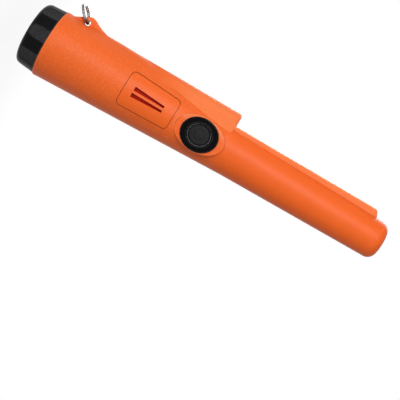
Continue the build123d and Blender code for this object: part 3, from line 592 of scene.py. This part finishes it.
# Screws, shaft and clip: a brighter, slightly cloudy metal.
SCREW_STEEL = Metal("zinc_plated_steel", "BFC2C4", "A9ABAA", roughness=0.3)
# Cans: pale, soft metal with drawing marks.
CAN_METAL = Metal("drawn_aluminium", "C9CBCC", "B5B7B8", roughness=0.28)
# Snap contacts: warm, bright metal.
CONTACT_METAL = Metal("nickel_plated_brass", "D2CBB4", "BDB395", roughness=0.25)
# Core: dark grey and fine-grained, like a ceramic.
FERRITE = Elastomer("sintered_ferrite", "2C2B2D", "38373A", roughness=0.45, pore_mm=0.25)
# Lens: clear and glossy.
ACRYLIC = ClearResin("clear_acrylic_polished", "F6FAFB", "EAF2F5")
# Light: clear with a slight haze.
LED_EPOXY = ClearResin("clear_epoxy_cast", "F4F6EC", "E6EBDF", roughness=0.12)
# Chassis and coil former: milky off-white.
NATURAL_NYLON = MouldedPlastic(
    "natural_nylon_moulded", "D8D5C8", "CFCBBB", "8A867A", "E4E2D8", roughness=0.5, grain_mm=0.8)
# Contact plate: brown sheet with a waxy shine.
PHENOLIC = MouldedPlastic(
    "brown_phenolic_pressed", "5A3A22", "4C301B", "2A190D", "7A5334", roughness=0.4, grain_mm=0.7)
# Chips, speaker and switch: matt black with a fine tooth.
CHIP_EPOXY = MouldedPlastic(
    "black_epoxy_moulded", "1B1B1D", "242426", "0A0A0B", "38383A", roughness=0.55, grain_mm=0.3)
# Switch plunger: smooth ivory.
IVORY_ACETAL = MouldedPlastic("ivory_acetal_moulded", "D9D0B6", "CFC5A8", "8B8268", "E6DFCB", roughness=0.35)
# Sound film: a dull, dark red that shows through the slots, painted as the shade of the orange floor below
# them.
SLOT_SHADE_FILM = MouldedPlastic(
    "red_film_painted_shade", "B31C0F", "A0180C", "4A0A06", "B31C0F", roughness=0.7, grain_mm=0.3, specular=0.05)
# Flat cable: amber with darker tracks.
POLYIMIDE = Banded("polyimide_film_printed", "A8621C", "8A4B12", pitch_mm=0.8, axis="X", roughness=0.3)
# Circuit board: green with wandering tracks under the mask.
LAMINATE = Banded(
    "glass_epoxy_solder_mask", "1E6B3C", "164F2D", pitch_mm=1.3, axis="Z", roughness=0.35, distortion=4.0)
# Coils: close turns of lacquered wire.
COPPER = Banded(
    "enamelled_copper_wound", "B5652F", "7A3C18", pitch_mm=0.35, metallic=1.0, roughness=0.3)
# Battery: a printed can with plain grey bands.
LABEL = Banded("printed_steel_can", "3C4148", "8F959B", pitch_mm=31.0, roughness=0.32, relief_mm=0.0)
# Leads: smooth red insulation.
RED_PVC = MouldedPlastic(
    "red_pvc_extruded", "A31D1A", "8E1715", "4A0B0A", "B5302C", roughness=0.4, grain_mm=0.4)

INNER_FINISHES: dict[str, Finish] = {
    "speaker_membrane": SLOT_SHADE_FILM,
    "speaker": CHIP_EPOXY,
    "speaker_gasket": FOAM,
    "button_seal": NITRILE,
    "tact_switch": CHIP_EPOXY,
    "switch_plunger": IVORY_ACETAL,
    "led": LED_EPOXY,
    "led_flex_cable": POLYIMIDE,
    "cap_o_ring": NITRILE,
    "battery_pad": FOAM,
    "tip_cushion": FOAM,
    "battery": LABEL,
    "snap_contacts": CONTACT_METAL,
    "contact_plate": PHENOLIC,
    "chassis": NATURAL_NYLON,
    "coil_former": NATURAL_NYLON,
    "chassis_screws": SCREW_STEEL,
    "pcb_screws": SCREW_STEEL,
    "main_pcb": LAMINATE,
    "processor_chip": CHIP_EPOXY,
    "amplifier_chips": CHIP_EPOXY,
    "capacitors": CAN_METAL,
    "crystal": CAN_METAL,
    "battery_leads": RED_PVC,
    "coil_leads": RED_PVC,
    "transmit_coil": COPPER,
    "receive_coils": COPPER,
    "ferrite_core": FERRITE,
    "vibration_motor": CAN_METAL,
    "motor_shaft": SCREW_STEEL,
    "eccentric_weight": SCREW_STEEL,
    "motor_clip": SCREW_STEEL,
}


def smooth(mesh: bpy.types.Mesh, crease: Crease) -> None:
    """Shades a mesh smoothly between its sharp edges.

    Args:
        mesh: The mesh.
        crease: Which edges stay sharp.
    """
    if "custom_normal" in mesh.attributes:
        mesh.attributes.remove(mesh.attributes["custom_normal"])
    mesh.polygons.foreach_set("use_smooth", [True] * len(mesh.polygons))
    mesh.set_sharp_from_angle(angle=math.radians(crease.value))
    mesh.update()


def link(name: str, mesh: bpy.types.Mesh, finish: Finish) -> bpy.types.Object:
    """Puts a mesh into the scene under a name and a finish.

    Args:
        name: The piece's name.
        mesh: Its mesh, placed in the row frame.
        finish: Its finish.

    Returns:
        The new object.
    """
    mesh.materials.clear()
    mesh.materials.append(finish.material())
    piece = bpy.data.objects.new(name, mesh)
    bpy.context.scene.collection.objects.link(piece)
    return piece


def refinish(mesh: bpy.types.Mesh, finish: Finish, chosen: Callable[[Vector, Vector], bool]) -> int:
    """Gives some of a mesh's faces a second finish.

    Args:
        mesh: The mesh, which has its first finish.
        finish: The second finish.
        chosen: Says from a face's middle and its normal, in millimetres, whether it takes the finish.

    Returns:
        How many faces took it.
    """
    mesh.materials.append(finish.material())
    taken = [face for face in mesh.polygons if chosen(face.center / MM, face.normal)]
    for face in taken:
        face.material_index = len(mesh.materials) - 1
    return len(taken)


def merged_mesh(node: bpy.types.Object, name: str) -> bpy.types.Mesh:
    """Copies a node's mesh with its loose triangles joined.

    Args:
        node: The CAD node.
        name: The new mesh's name.

    Returns:
        The closed copy.
    """
    shape = bmesh.new()
    shape.from_mesh(node.data)
    bmesh.ops.remove_doubles(shape, verts=shape.verts, dist=NODE_WELD)
    mesh = bpy.data.meshes.new(name)
    shape.to_mesh(mesh)
    shape.free()
    return mesh


def settle(piece: bpy.types.Object, carrier: Carrier, slot: Slot, *nodes: str) -> None:
    """Fastens a piece to its body and hides the CAD nodes that it stands for.

    Args:
        piece: The finished piece.
        carrier: The body that it rides on.
        slot: The record's slot for its finish; not used.
        nodes: The CAD nodes that it replaces, if any.
    """
    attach(piece, carrier.value)
    if nodes:
        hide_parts(*nodes)
    log.info("%s rides on %s, %d faces", piece.name, carrier.value, len(piece.data.polygons))


def baked(piece: bpy.types.Object) -> bpy.types.Mesh:
    """Turns a piece with modifiers into a plain mesh and removes them.

    Args:
        piece: The piece.

    Returns:
        Its new mesh.
    """
    view = bpy.context.evaluated_depsgraph_get()
    view.update()
    mesh = bpy.data.meshes.new_from_object(piece.evaluated_get(view))
    piece.modifiers.clear()
    piece.data = mesh
    return mesh


class HelixTree:
    """Node tree for a wire or a ridge wound round the Z axis."""

    FLOATS = ("Radius", "Pitch", "Turns", "Start", "Radial", "Axial", "Corner", "Run Out")
    CORNER_STEPS = 3
    THINNEST_END = 0.02

    def __init__(self) -> None:
        """Builds the tree with its named inputs."""
        self.tree = bpy.data.node_groups.new("wound_profile", "GeometryNodeTree")
        face = self.tree.interface
        face.new_socket("Geometry", in_out="INPUT", socket_type="NodeSocketGeometry")
        for name in self.FLOATS:
            face.new_socket(name, in_out="INPUT", socket_type="NodeSocketFloat")
        face.new_socket("Steps", in_out="INPUT", socket_type="NodeSocketInt")
        face.new_socket("Material", in_out="INPUT", socket_type="NodeSocketMaterial")
        face.new_socket("Geometry", in_out="OUTPUT", socket_type="NodeSocketGeometry")
        self._wire()

    def _math(self, operation: str, first: SocketValue, second: SocketValue = 0.0) -> bpy.types.NodeSocket:
        """One sum of the tree, as its output socket."""
        return add_node(self.tree, "ShaderNodeMath", {0: first, 1: second}, operation=operation).outputs[0]

    def _wire(self) -> None:
        """Lays out the nodes."""
        tree = self.tree
        given = add_node(tree, "NodeGroupInput").outputs
        along = add_node(tree, "GeometryNodeSplineParameter").outputs["Factor"]
        turns = self._math("MULTIPLY", along, given["Turns"])
        angle = self._math("ADD", self._math("MULTIPLY", turns, 2 * math.pi), given["Start"])
        place = add_node(tree, "ShaderNodeCombineXYZ", {
            "X": self._math("MULTIPLY", self._math("COSINE", angle), given["Radius"]),
            "Y": self._math("MULTIPLY", self._math("SINE", angle), given["Radius"]),
            "Z": self._math("MULTIPLY", turns, given["Pitch"])})
        line = add_node(tree, "GeometryNodeCurvePrimitiveLine")
        steps = add_node(tree, "GeometryNodeResampleCurve", {
            "Curve": line.outputs[0], "Count": given["Steps"]})
        coil = add_node(tree, "GeometryNodeSetPosition", {
            "Geometry": steps.outputs[0], "Position": place.outputs[0]})
        upright = add_node(tree, "GeometryNodeSetCurveNormal", {"Curve": coil.outputs[0]}, mode="Z_UP")
        ends = self._math("MINIMUM", along, self._math("SUBTRACT", 1.0, along))
        swell = add_node(tree, "ShaderNodeMapRange", {
            "Value": ends, "From Max": given["Run Out"], "To Min": self.THINNEST_END}).outputs[0]
        ramp = add_node(tree, "GeometryNodeSetCurveRadius", {"Curve": upright.outputs[0], "Radius": swell})
        bar = add_node(tree, "GeometryNodeCurvePrimitiveQuadrilateral", {
            "Width": given["Radial"], "Height": given["Axial"]})
        rounded = add_node(tree, "GeometryNodeFilletCurve", {
            "Curve": bar.outputs[0], "Count": self.CORNER_STEPS, "Radius": given["Corner"]}, mode="POLY")
        solid = add_node(tree, "GeometryNodeCurveToMesh", {
            "Curve": ramp.outputs[0], "Profile Curve": rounded.outputs[0], "Fill Caps": True})
        real = add_node(tree, "GeometryNodeRealizeInstances", {"Geometry": solid.outputs[0]})
        dressed = add_node(tree, "GeometryNodeSetMaterial", {
            "Geometry": real.outputs[0], "Material": given["Material"]})
        add_node(tree, "NodeGroupOutput", {"Geometry": dressed.outputs[0]})

    def wind(self, name: str, finish: Finish, steps: int, **sizes: float) -> bpy.types.Object:
        """Winds one piece.

        Args:
            name: The piece's name.
            finish: Its finish.
            steps: Points along the winding.
            sizes: The tree's float inputs by name, in metres, turns and radians.

        Returns:
            The piece as a plain mesh about the origin.
        """
        piece = link(name, bpy.data.meshes.new(name), finish)
        tool = piece.modifiers.new("winding", "NODES")
        tool.node_group = self.tree
        values = {key.replace("_", " ").title(): value for key, value in sizes.items()}
        values.update({"Steps": steps, "Material": finish.material()})
        for item in self.tree.interface.items_tree:
            if item.in_out == "INPUT" and item.name in values:
                tool[item.identifier] = values[item.name]
        mesh = baked(piece)
        shape = bmesh.new()
        shape.from_mesh(mesh)
        bmesh.ops.remove_doubles(shape, verts=shape.verts, dist=WINDING_WELD)
        bmesh.ops.recalc_face_normals(shape, faces=shape.faces)
        shape.to_mesh(mesh)
        shape.free()
        return piece


@dataclass
class RulerFigure:
    """One engraved figure: what it says, where its middle is, in millimetres, and how wide it is drawn."""

    words: str
    across: float
    from_tip: float
    stretch: float = 1.0


@dataclass
class MouldedCase:
    """The orange case with its engraved figures, its sound panel and its screw thread, in millimetres.

    A figure's place is its distance across the tube and from the tip. The flank is the fin's flat side at
    the ruler, given as the way that it faces, its distance from the axis at the keel's root and its fall.
    """

    form: TubeForm
    figure_height: float = 3.0
    figure_depth: float = 0.4
    figure_weight: float = 0.09
    figure_facet: float = 0.15
    figure_stretch: float = 1.3
    figure_clear: float = 1.0
    capital_share: float = 0.7
    curve_steps: int = 4
    sharpest: float = 0.5
    centimetre: float = 10.0
    inch: float = 25.4
    centimetre_side: float = 7.1
    inch_side: float = -7.9
    centimetre_unit: tuple[float, float] = (7.5, 206.6)
    inch_unit: tuple[float, float] = (-9.9, 206.7)
    keel_root: float = 118.0
    keel_root_side: float = 6.0
    flank: tuple[float, float] = (-0.4605, 0.8877)
    flank_reach: float = 12.974
    flank_fall: float = 0.0635
    flush: float = 0.05
    slice_reach: float = 0.0001
    thread_radius: float = 17.42
    thread_height: float = 0.5
    thread_width: float = 1.1
    thread_pitch: float = 3.0
    thread_turns: float = 1.9
    thread_start: float = 3.8
    thread_angle: float = 0.4
    thread_corner: float = 0.12
    thread_run_out: float = 0.06
    thread_steps: int = 180

    def figures(self) -> list[RulerFigure]:
        """Lists the ruler's figures and units.

        Returns:
            The figures.
        """
        marks = [
            RulerFigure(str(n), self.centimetre_side, n * self.centimetre, self.figure_stretch)
            for n in (10, 15, 20)]
        marks += [RulerFigure(str(n), self.inch_side, n * self.inch) for n in (4, 6, 8)]
        marks += [RulerFigure("CM", *self.centimetre_unit), RulerFigure("IN", *self.inch_unit)]
        return marks

    def flat_figure(self, figure: RulerFigure) -> bpy.types.Mesh:
        """Makes one solid figure lying flat, with its strokes thickened.

        Args:
            figure: The figure.

        Returns:
            A closed mesh about its own middle, in millimetres.
        """
        words = bpy.data.curves.new("figure", "FONT")
        words.body = figure.words
        words.size = self.figure_height / self.capital_share
        words.align_x = "CENTER"
        words.align_y = "CENTER"
        words.extrude = self.figure_clear
        words.resolution_u = self.curve_steps
        carrier = bpy.data.objects.new("figure", words)
        bpy.context.scene.collection.objects.link(carrier)
        view = bpy.context.evaluated_depsgraph_get()
        flat = bpy.data.meshes.new_from_object(carrier.evaluated_get(view))
        bpy.data.objects.remove(carrier)
        flat.transform(Matrix.Diagonal((figure.stretch, 1.0, 1.0, 1.0)))
        shape = bmesh.new()
        shape.from_mesh(flat)
        bmesh.ops.remove_doubles(shape, verts=shape.verts, dist=self.figure_facet)
        bmesh.ops.recalc_face_normals(shape, faces=shape.faces)
        lids = [face for face in shape.faces if len({corner.co.z > 0 for corner in face.verts}) == 1]
        bmesh.ops.delete(shape, geom=lids, context="FACES")
        moves = [self.outward(corner) for corner in shape.verts]
        for corner, move in zip(shape.verts, moves):
            corner.co += move * self.figure_weight
        rims = [edge for edge in shape.edges if edge.is_boundary]
        for side in (1.0, -1.0):
            bmesh.ops.triangle_fill(
                shape, edges=[edge for edge in rims if edge.verts[0].co.z * side > 0], use_beauty=True,
                normal=(0.0, 0.0, side))
        shape.to_mesh(flat)
        shape.free()
        return flat

    def outward(self, corner: bmesh.types.BMVert) -> Vector:
        """Says how a corner of a flat figure moves when its walls move out by one.

        Args:
            corner: The corner, where two walls meet.

        Returns:
            The move, kept short where the walls meet at a sharp point.
        """
        walls = [face.normal for face in corner.link_faces]
        far = min(walls, key=walls[0].dot)
        return (walls[0] + far) / max(1.0 + walls[0].dot(far), self.sharpest)

    def cutter(self) -> bpy.types.Object:
        """Makes the solid figures that are cut out of the case.

        Returns:
            One object with every figure, curved to the case.
        """
        shape = bmesh.new()
        for figure in self.figures():
            flat = self.flat_figure(figure)
            for corner in flat.vertices:
                x = figure.across + corner.co.x
                z = self.form.length - figure.from_tip - corner.co.y
                lift = self.figure_clear if corner.co.z > 0 else -self.figure_depth
                reach = self.form.radius(z) + lift
                corner.co = Vector((x, math.sqrt(reach**2 - x**2), z)) * MM
            shape.from_mesh(flat)
            bpy.data.meshes.remove(flat)
        bmesh.ops.recalc_face_normals(shape, faces=shape.faces)
        mesh = bpy.data.meshes.new("figures")
        shape.to_mesh(mesh)
        shape.free()
        return link("figures", mesh, ORANGE_ABS)

    def bed_keel(self, mesh: bpy.types.Mesh) -> None:
        """Lets the keel's root, behind the step, run flush into the fin's flank on the ruler's side.

        Args:
            mesh: The case's mesh.
        """
        shape = bmesh.new()
        shape.from_mesh(mesh)
        bmesh.ops.bisect_plane(
            shape, geom=shape.verts[:] + shape.edges[:] + shape.faces[:], dist=self.slice_reach * MM,
            plane_co=(0.0, 0.0, self.form.step_z * MM), plane_no=(0.0, 0.0, 1.0))
        outward = Vector((*self.flank, 0.0))
        for corner in shape.verts:
            spot = corner.co / MM
            behind = abs(spot.z - self.keel_root) < self.flush and spot.y > self.keel_root_side
            proud = outward.dot(spot) - self.flank_reach + self.flank_fall * (spot.z - self.keel_root)
            if behind and proud > self.flush:
                corner.co -= outward * (proud - self.flush) * MM
        shape.to_mesh(mesh)
        shape.free()

    def build(self, nodes: Mapping[str, bpy.types.Object], helix: HelixTree) -> None:
        """Builds and dresses the case.

        Args:
            nodes: The CAD nodes by name.
            helix: The tree that winds the thread.
        """
        shell = link("moulded_case", merged_mesh(nodes["body_shell"], "moulded_case"), ORANGE_ABS)
        self.bed_keel(shell.data)
        cutter = self.cutter()
        tool = shell.modifiers.new("engrave", "BOOLEAN")
        tool.operation = "DIFFERENCE"
        tool.solver = "EXACT"
        tool.object = cutter
        smooth(baked(shell), Crease.CRISP)
        bpy.data.objects.remove(cutter)
        shell.data.materials.clear()
        shell.data.materials.append(ORANGE_ABS.material())
        settle(shell, Carrier.HOUSING, Slot.ORANGE, "body_shell")
        panel = link("sound_panel", merged_mesh(nodes["speaker_panel"], "sound_panel"), PANEL_ABS)
        smooth(panel.data, Crease.CRISP)
        settle(panel, Carrier.HOUSING, Slot.ORANGE, "speaker_panel")
        thread = helix.wind(
            "case_thread", ORANGE_ABS, self.thread_steps, radius=self.thread_radius * MM,
            pitch=self.thread_pitch * MM, turns=self.thread_turns, start=self.thread_angle,
            radial=self.thread_height * MM, axial=self.thread_width * MM, corner=self.thread_corner * MM,
            run_out=self.thread_run_out)
        thread.data.transform(Matrix.Translation((0, 0, self.thread_start * MM)))
        smooth(thread.data, Crease.CRISP)
        settle(thread, Carrier.HOUSING, Slot.ORANGE)


@dataclass
class BatteryCap:
    """The black screw cap, satin with matt flutes, in millimetres.

    A face lies in a flute where it is sunk between the shallowest and the deepest value and is no steeper
    than the given share along the axis.
    """

    end_radius: float = 18.645
    rim_radius: float = 19.645
    rim_z: float = 12.4
    edge_round: float = 3.2
    shallowest: float = 0.06
    deepest: float = 0.66
    steepest: float = 0.3

    def in_flute(self, middle: Vector, normal: Vector) -> bool:
        """Says whether a face lies in one of the flutes.

        Args:
            middle: The face's middle, in millimetres.
            normal: Its normal.

        Returns:
            True in a flute.
        """
        if not self.edge_round < middle.z < self.rim_z or abs(normal.z) > self.steepest:
            return False
        outside = self.end_radius + (self.rim_radius - self.end_radius) * middle.z / self.rim_z
        return self.shallowest < outside - math.hypot(middle.x, middle.y) < self.deepest

    def build(self, nodes: Mapping[str, bpy.types.Object]) -> None:
        """Builds and dresses the cap.

        Args:
            nodes: The CAD nodes by name.
        """
        cap = link("screw_cap", merged_mesh(nodes["battery_cap"], "screw_cap"), BLACK_ABS)
        smooth(cap.data, Crease.CRISP)
        log.info("%d faces in the flutes", refinish(cap.data, MATT_BLACK, self.in_flute))
        settle(cap, Carrier.CAP, Slot.BLACK, "battery_cap")


@dataclass
class PushButton:
    """The oval surround and the button inside it."""

    def build(self, nodes: Mapping[str, bpy.types.Object]) -> None:
        """Builds and dresses the surround and the button.

        Args:
            nodes: The CAD nodes by name.
        """
        bezel = link("button_surround", merged_mesh(nodes["button_bezel"], "button_surround"), POLISHED_BLACK)
        smooth(bezel.data, Crease.CRISP)
        settle(bezel, Carrier.HOUSING, Slot.GLOSS, "button_bezel")
        button = link("push_button", merged_mesh(nodes["power_button"], "push_button"), SILICONE)
        smooth(button.data, Crease.CRISP)
        settle(button, Carrier.BUTTON, Slot.RUBBER, "power_button")


@dataclass
class SplitRing:
    """The wound wire ring in the lug, in millimetres and degrees."""

    seat: tuple[float, float, float] = (-20.146, 0.0, 25.065)
    radius: float = 5.4
    wire_radial: float = 1.0
    wire_axial: float = 0.8
    coil_gap: float = 0.1
    end_gap: float = 0.8
    lean: float = 41.4
    twist: float = 4.0
    split_angle: float = 150.0
    wire_corner: float = 0.22
    steps: int = 220

    def build(self, helix: HelixTree) -> None:
        """Winds the ring and hangs it in the lug's hole.

        Args:
            helix: The tree that winds it.
        """
        pitch = self.wire_axial + self.coil_gap
        start = self.end_gap / self.radius / 2
        turns = 2 - start / math.pi
        ring = helix.wind(
            "split_ring", RING_STEEL, self.steps, radius=self.radius * MM, pitch=pitch * MM, turns=turns,
            start=start + math.radians(self.split_angle), radial=self.wire_radial * MM,
            axial=self.wire_axial * MM, corner=self.wire_corner * MM, run_out=0.0)
        hang = (
            Matrix.Translation(Vector(self.seat) * MM)
            @ Matrix.Rotation(math.radians(-self.lean), 4, "Y")
            @ Matrix.Rotation(math.radians(self.twist), 4, "X")
            @ Matrix.Translation((-self.radius * MM, 0, -pitch * turns / 2 * MM)))
        ring.data.transform(hang)
        smooth(ring.data, Crease.CRISP)
        settle(ring, Carrier.RING, Slot.STEEL, "lanyard_ring")


@dataclass
class WorkingLight:
    """The clear lens in the step of the fin, with the share of its crown that stands proud of the step."""

    form: TubeForm
    crown_share: float = 0.1

    def build(self, nodes: Mapping[str, bpy.types.Object]) -> None:
        """Builds and dresses the lens.

        Args:
            nodes: The CAD nodes by name.
        """
        lens = link("light_lens", merged_mesh(nodes["led_lens"], "light_lens"), ACRYLIC)
        for corner in lens.data.vertices:
            proud = corner.co.z - self.form.step_z * MM
            if proud > 0:
                corner.co.z -= proud * (1 - self.crown_share)
        smooth(lens.data, Crease.SOFT)
        settle(lens, Carrier.HOUSING, Slot.LENS, "led_lens")


@dataclass
class Insides:
    """What the case holds: the nodes that keep their shape and get a finish."""

    def build(self, nodes: Mapping[str, bpy.types.Object]) -> None:
        """Dresses each inner node.

        Args:
            nodes: The CAD nodes by name.
        """
        for name, finish in INNER_FINISHES.items():
            node = nodes[name]
            if not node.material_slots:
                node.data.materials.append(finish.material())
            for holder in node.material_slots:
                holder.material = finish.material()
            log.info("%s is dressed in %s", name, finish.name)


@dataclass(frozen=True)
class Lamp:
    """One soft round lamp: where it hangs and how wide it is, in metres, and its power in watts."""

    name: str
    spot: tuple[float, float, float]
    size: float
    watts: float

    def hang(self, aim: Vector) -> None:
        """Hangs the lamp.

        Args:
            aim: What it points at, in metres.
        """
        light = bpy.data.lights.new(self.name, "AREA")
        light.shape = "DISK"
        light.size = self.size
        light.energy = self.watts
        lamp = bpy.data.objects.new(self.name, light)
        lamp.location = self.spot
        lamp.rotation_euler = (aim - Vector(self.spot)).to_track_quat("-Z", "Y").to_euler()
        bpy.context.scene.collection.objects.link(lamp)


LAMPS = (
    Lamp("key", (-0.53, -0.99, 0.24), 0.45, 8.8),
    Lamp("fill", (0.35, -0.95, 0.45), 0.7, 0.6),
    Lamp("back", (-0.45, 0.95, 0.35), 0.7, 7.0),
)


@dataclass
class Studio:
    """The pale floor, the soft light and the camera of the photograph, in millimetres, degrees and pixels."""

    floor_size: float = 6000.0
    floor_drop: float = 9.2
    shadow_start: float = 30.0
    shadow_reach: float = 160.0
    shadow_share: float = 0.1
    ambient: float = 0.25
    aim_height: float = 120.0
    camera_distance: float = 700.0
    camera_height: float = 125.0
    camera_swing: float = 2.8
    camera_near: float = 10.0
    pixels_per_mm: float = 1.774
    axis_right: float = 0.8545
    axis_down: float = 0.5195
    centre_right: float = 221.75
    centre_down: float = 147.1
    frame_pixels: float = 400.0
    sensor: float = 36.0

    def floor(self) -> None:
        """Lays the floor, which is white to the camera and keeps the shadow near the object.

        It lies low enough for the cap to be unscrewed above it.
        """
        mesh = bpy.data.meshes.new("floor")
        half = self.floor_size / 2 * MM
        low = -self.floor_drop * MM
        corners = [(-half, -half, low), (half, -half, low), (half, half, low), (-half, half, low)]
        mesh.from_pydata(corners, [], [(0, 1, 2, 3)])
        # Plain matt paper, which gives the eye an even white with a soft shadow.
        made = bpy.data.materials.new("matt_white_paper")
        made.use_nodes = True
        tree = made.node_tree
        tree.nodes.clear()
        paper = add_node(tree, "ShaderNodeBsdfDiffuse", {"Color": linear("F2F2F2")})
        plain = add_node(tree, "ShaderNodeEmission", {"Color": WHITE, "Strength": 1.0})
        place = add_node(tree, "ShaderNodeTexCoord").outputs["Object"]
        away = add_node(tree, "ShaderNodeVectorMath", {0: place}, operation="LENGTH")
        near = add_node(tree, "ShaderNodeMapRange", {
            "Value": away.outputs["Value"], "From Min": self.shadow_start * MM,
            "From Max": self.shadow_reach * MM, "To Min": 1.0 - self.shadow_share, "To Max": 1.0},
            interpolation_type="SMOOTHSTEP")
        share = add_node(tree, "ShaderNodeMath", {
            0: self._seen(tree), 1: near.outputs[0]}, operation="MULTIPLY")
        both = add_node(tree, "ShaderNodeMixShader", {
            0: share.outputs[0], 1: paper.outputs[0], 2: plain.outputs[0]})
        add_node(tree, "ShaderNodeOutputMaterial", {"Surface": both.outputs[0]})
        mesh.materials.append(made)
        floor = bpy.data.objects.new("floor", mesh)
        bpy.context.scene.collection.objects.link(floor)

    def _seen(self, tree: bpy.types.NodeTree) -> bpy.types.NodeSocket:
        """Tells what is seen from what only lights.

        Args:
            tree: The tree that asks.

        Returns:
            A socket that is one where a ray comes from the camera, a mirror or glass, and zero elsewhere.
        """
        path = add_node(tree, "ShaderNodeLightPath").outputs
        first = add_node(tree, "ShaderNodeMath", {
            0: path["Is Camera Ray"], 1: path["Is Glossy Ray"]}, operation="MAXIMUM")
        return add_node(tree, "ShaderNodeMath", {
            0: first.outputs[0], 1: path["Is Transmission Ray"]}, operation="MAXIMUM").outputs[0]

    def world(self) -> None:
        """Makes the surroundings: white where they are seen, softer where they light."""
        world = bpy.data.worlds.new("studio")
        bpy.context.scene.world = world
        world.use_nodes = True
        tree = world.node_tree
        tree.nodes.clear()
        power = add_node(tree, "ShaderNodeMapRange", {
            "Value": self._seen(tree), "To Min": self.ambient, "To Max": 1.0})
        sky = add_node(tree, "ShaderNodeBackground", {
            "Color": WHITE, "Strength": power.outputs[0]})
        add_node(tree, "ShaderNodeOutputWorld", {"Surface": sky.outputs[0]})

    def camera(self) -> None:
        """Sets the camera: level with the grip, a little round to the fin's side and rolled.

        The tube's axis then runs down to the right, as in the photograph.
        """
        focal = self.camera_distance * self.pixels_per_mm
        half = self.frame_pixels / 2
        lens = bpy.data.cameras.new("photo_camera")
        lens.sensor_width = self.sensor
        lens.lens = self.sensor * focal / self.frame_pixels
        lens.clip_start = self.camera_near * MM
        camera = bpy.data.objects.new("photo_camera", lens)
        swing = math.radians(self.camera_swing)
        back = Vector((-math.sin(swing), -math.cos(swing), 0.0))
        across = Vector((math.cos(swing), -math.sin(swing), 0.0))
        right = Vector((0.0, 0.0, self.axis_right)) - across * self.axis_down
        straight = Matrix((right, back.cross(right), back)).transposed()
        place = Vector((self.centre_right - half, half - self.centre_down, -focal))
        aside = Vector((0.0, 0.0, -1.0)).rotation_difference(place).to_matrix()
        spot = (Vector((0.0, 0.0, self.camera_height)) + back * self.camera_distance) * MM
        camera.matrix_world = Matrix.Translation(spot) @ (straight @ aside.transposed()).to_4x4()
        bpy.context.scene.collection.objects.link(camera)
        bpy.context.scene.camera = camera

    def build(self) -> None:
        """Sets up the whole studio."""
        self.floor()
        self.world()
        for lamp in LAMPS:
            lamp.hang(Vector((0.0, 0.0, self.aim_height)) * MM)
        self.camera()
        bpy.context.scene.view_settings.view_transform = "Standard"


def main() -> None:
    """Loads the frame and builds each part of the object and the studio."""
    logging.basicConfig(level=logging.INFO, format="%(name)s: %(message)s")
    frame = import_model()
    nodes = frame["nodes"]
    helix = HelixTree()
    MouldedCase(CASE_FORM).build(nodes, helix)
    BatteryCap().build(nodes)
    PushButton().build(nodes)
    SplitRing().build(helix)
    WorkingLight(CASE_FORM).build(nodes)
    Insides().build(nodes)
    Studio().build()


if __name__ == "__main__":
    main()
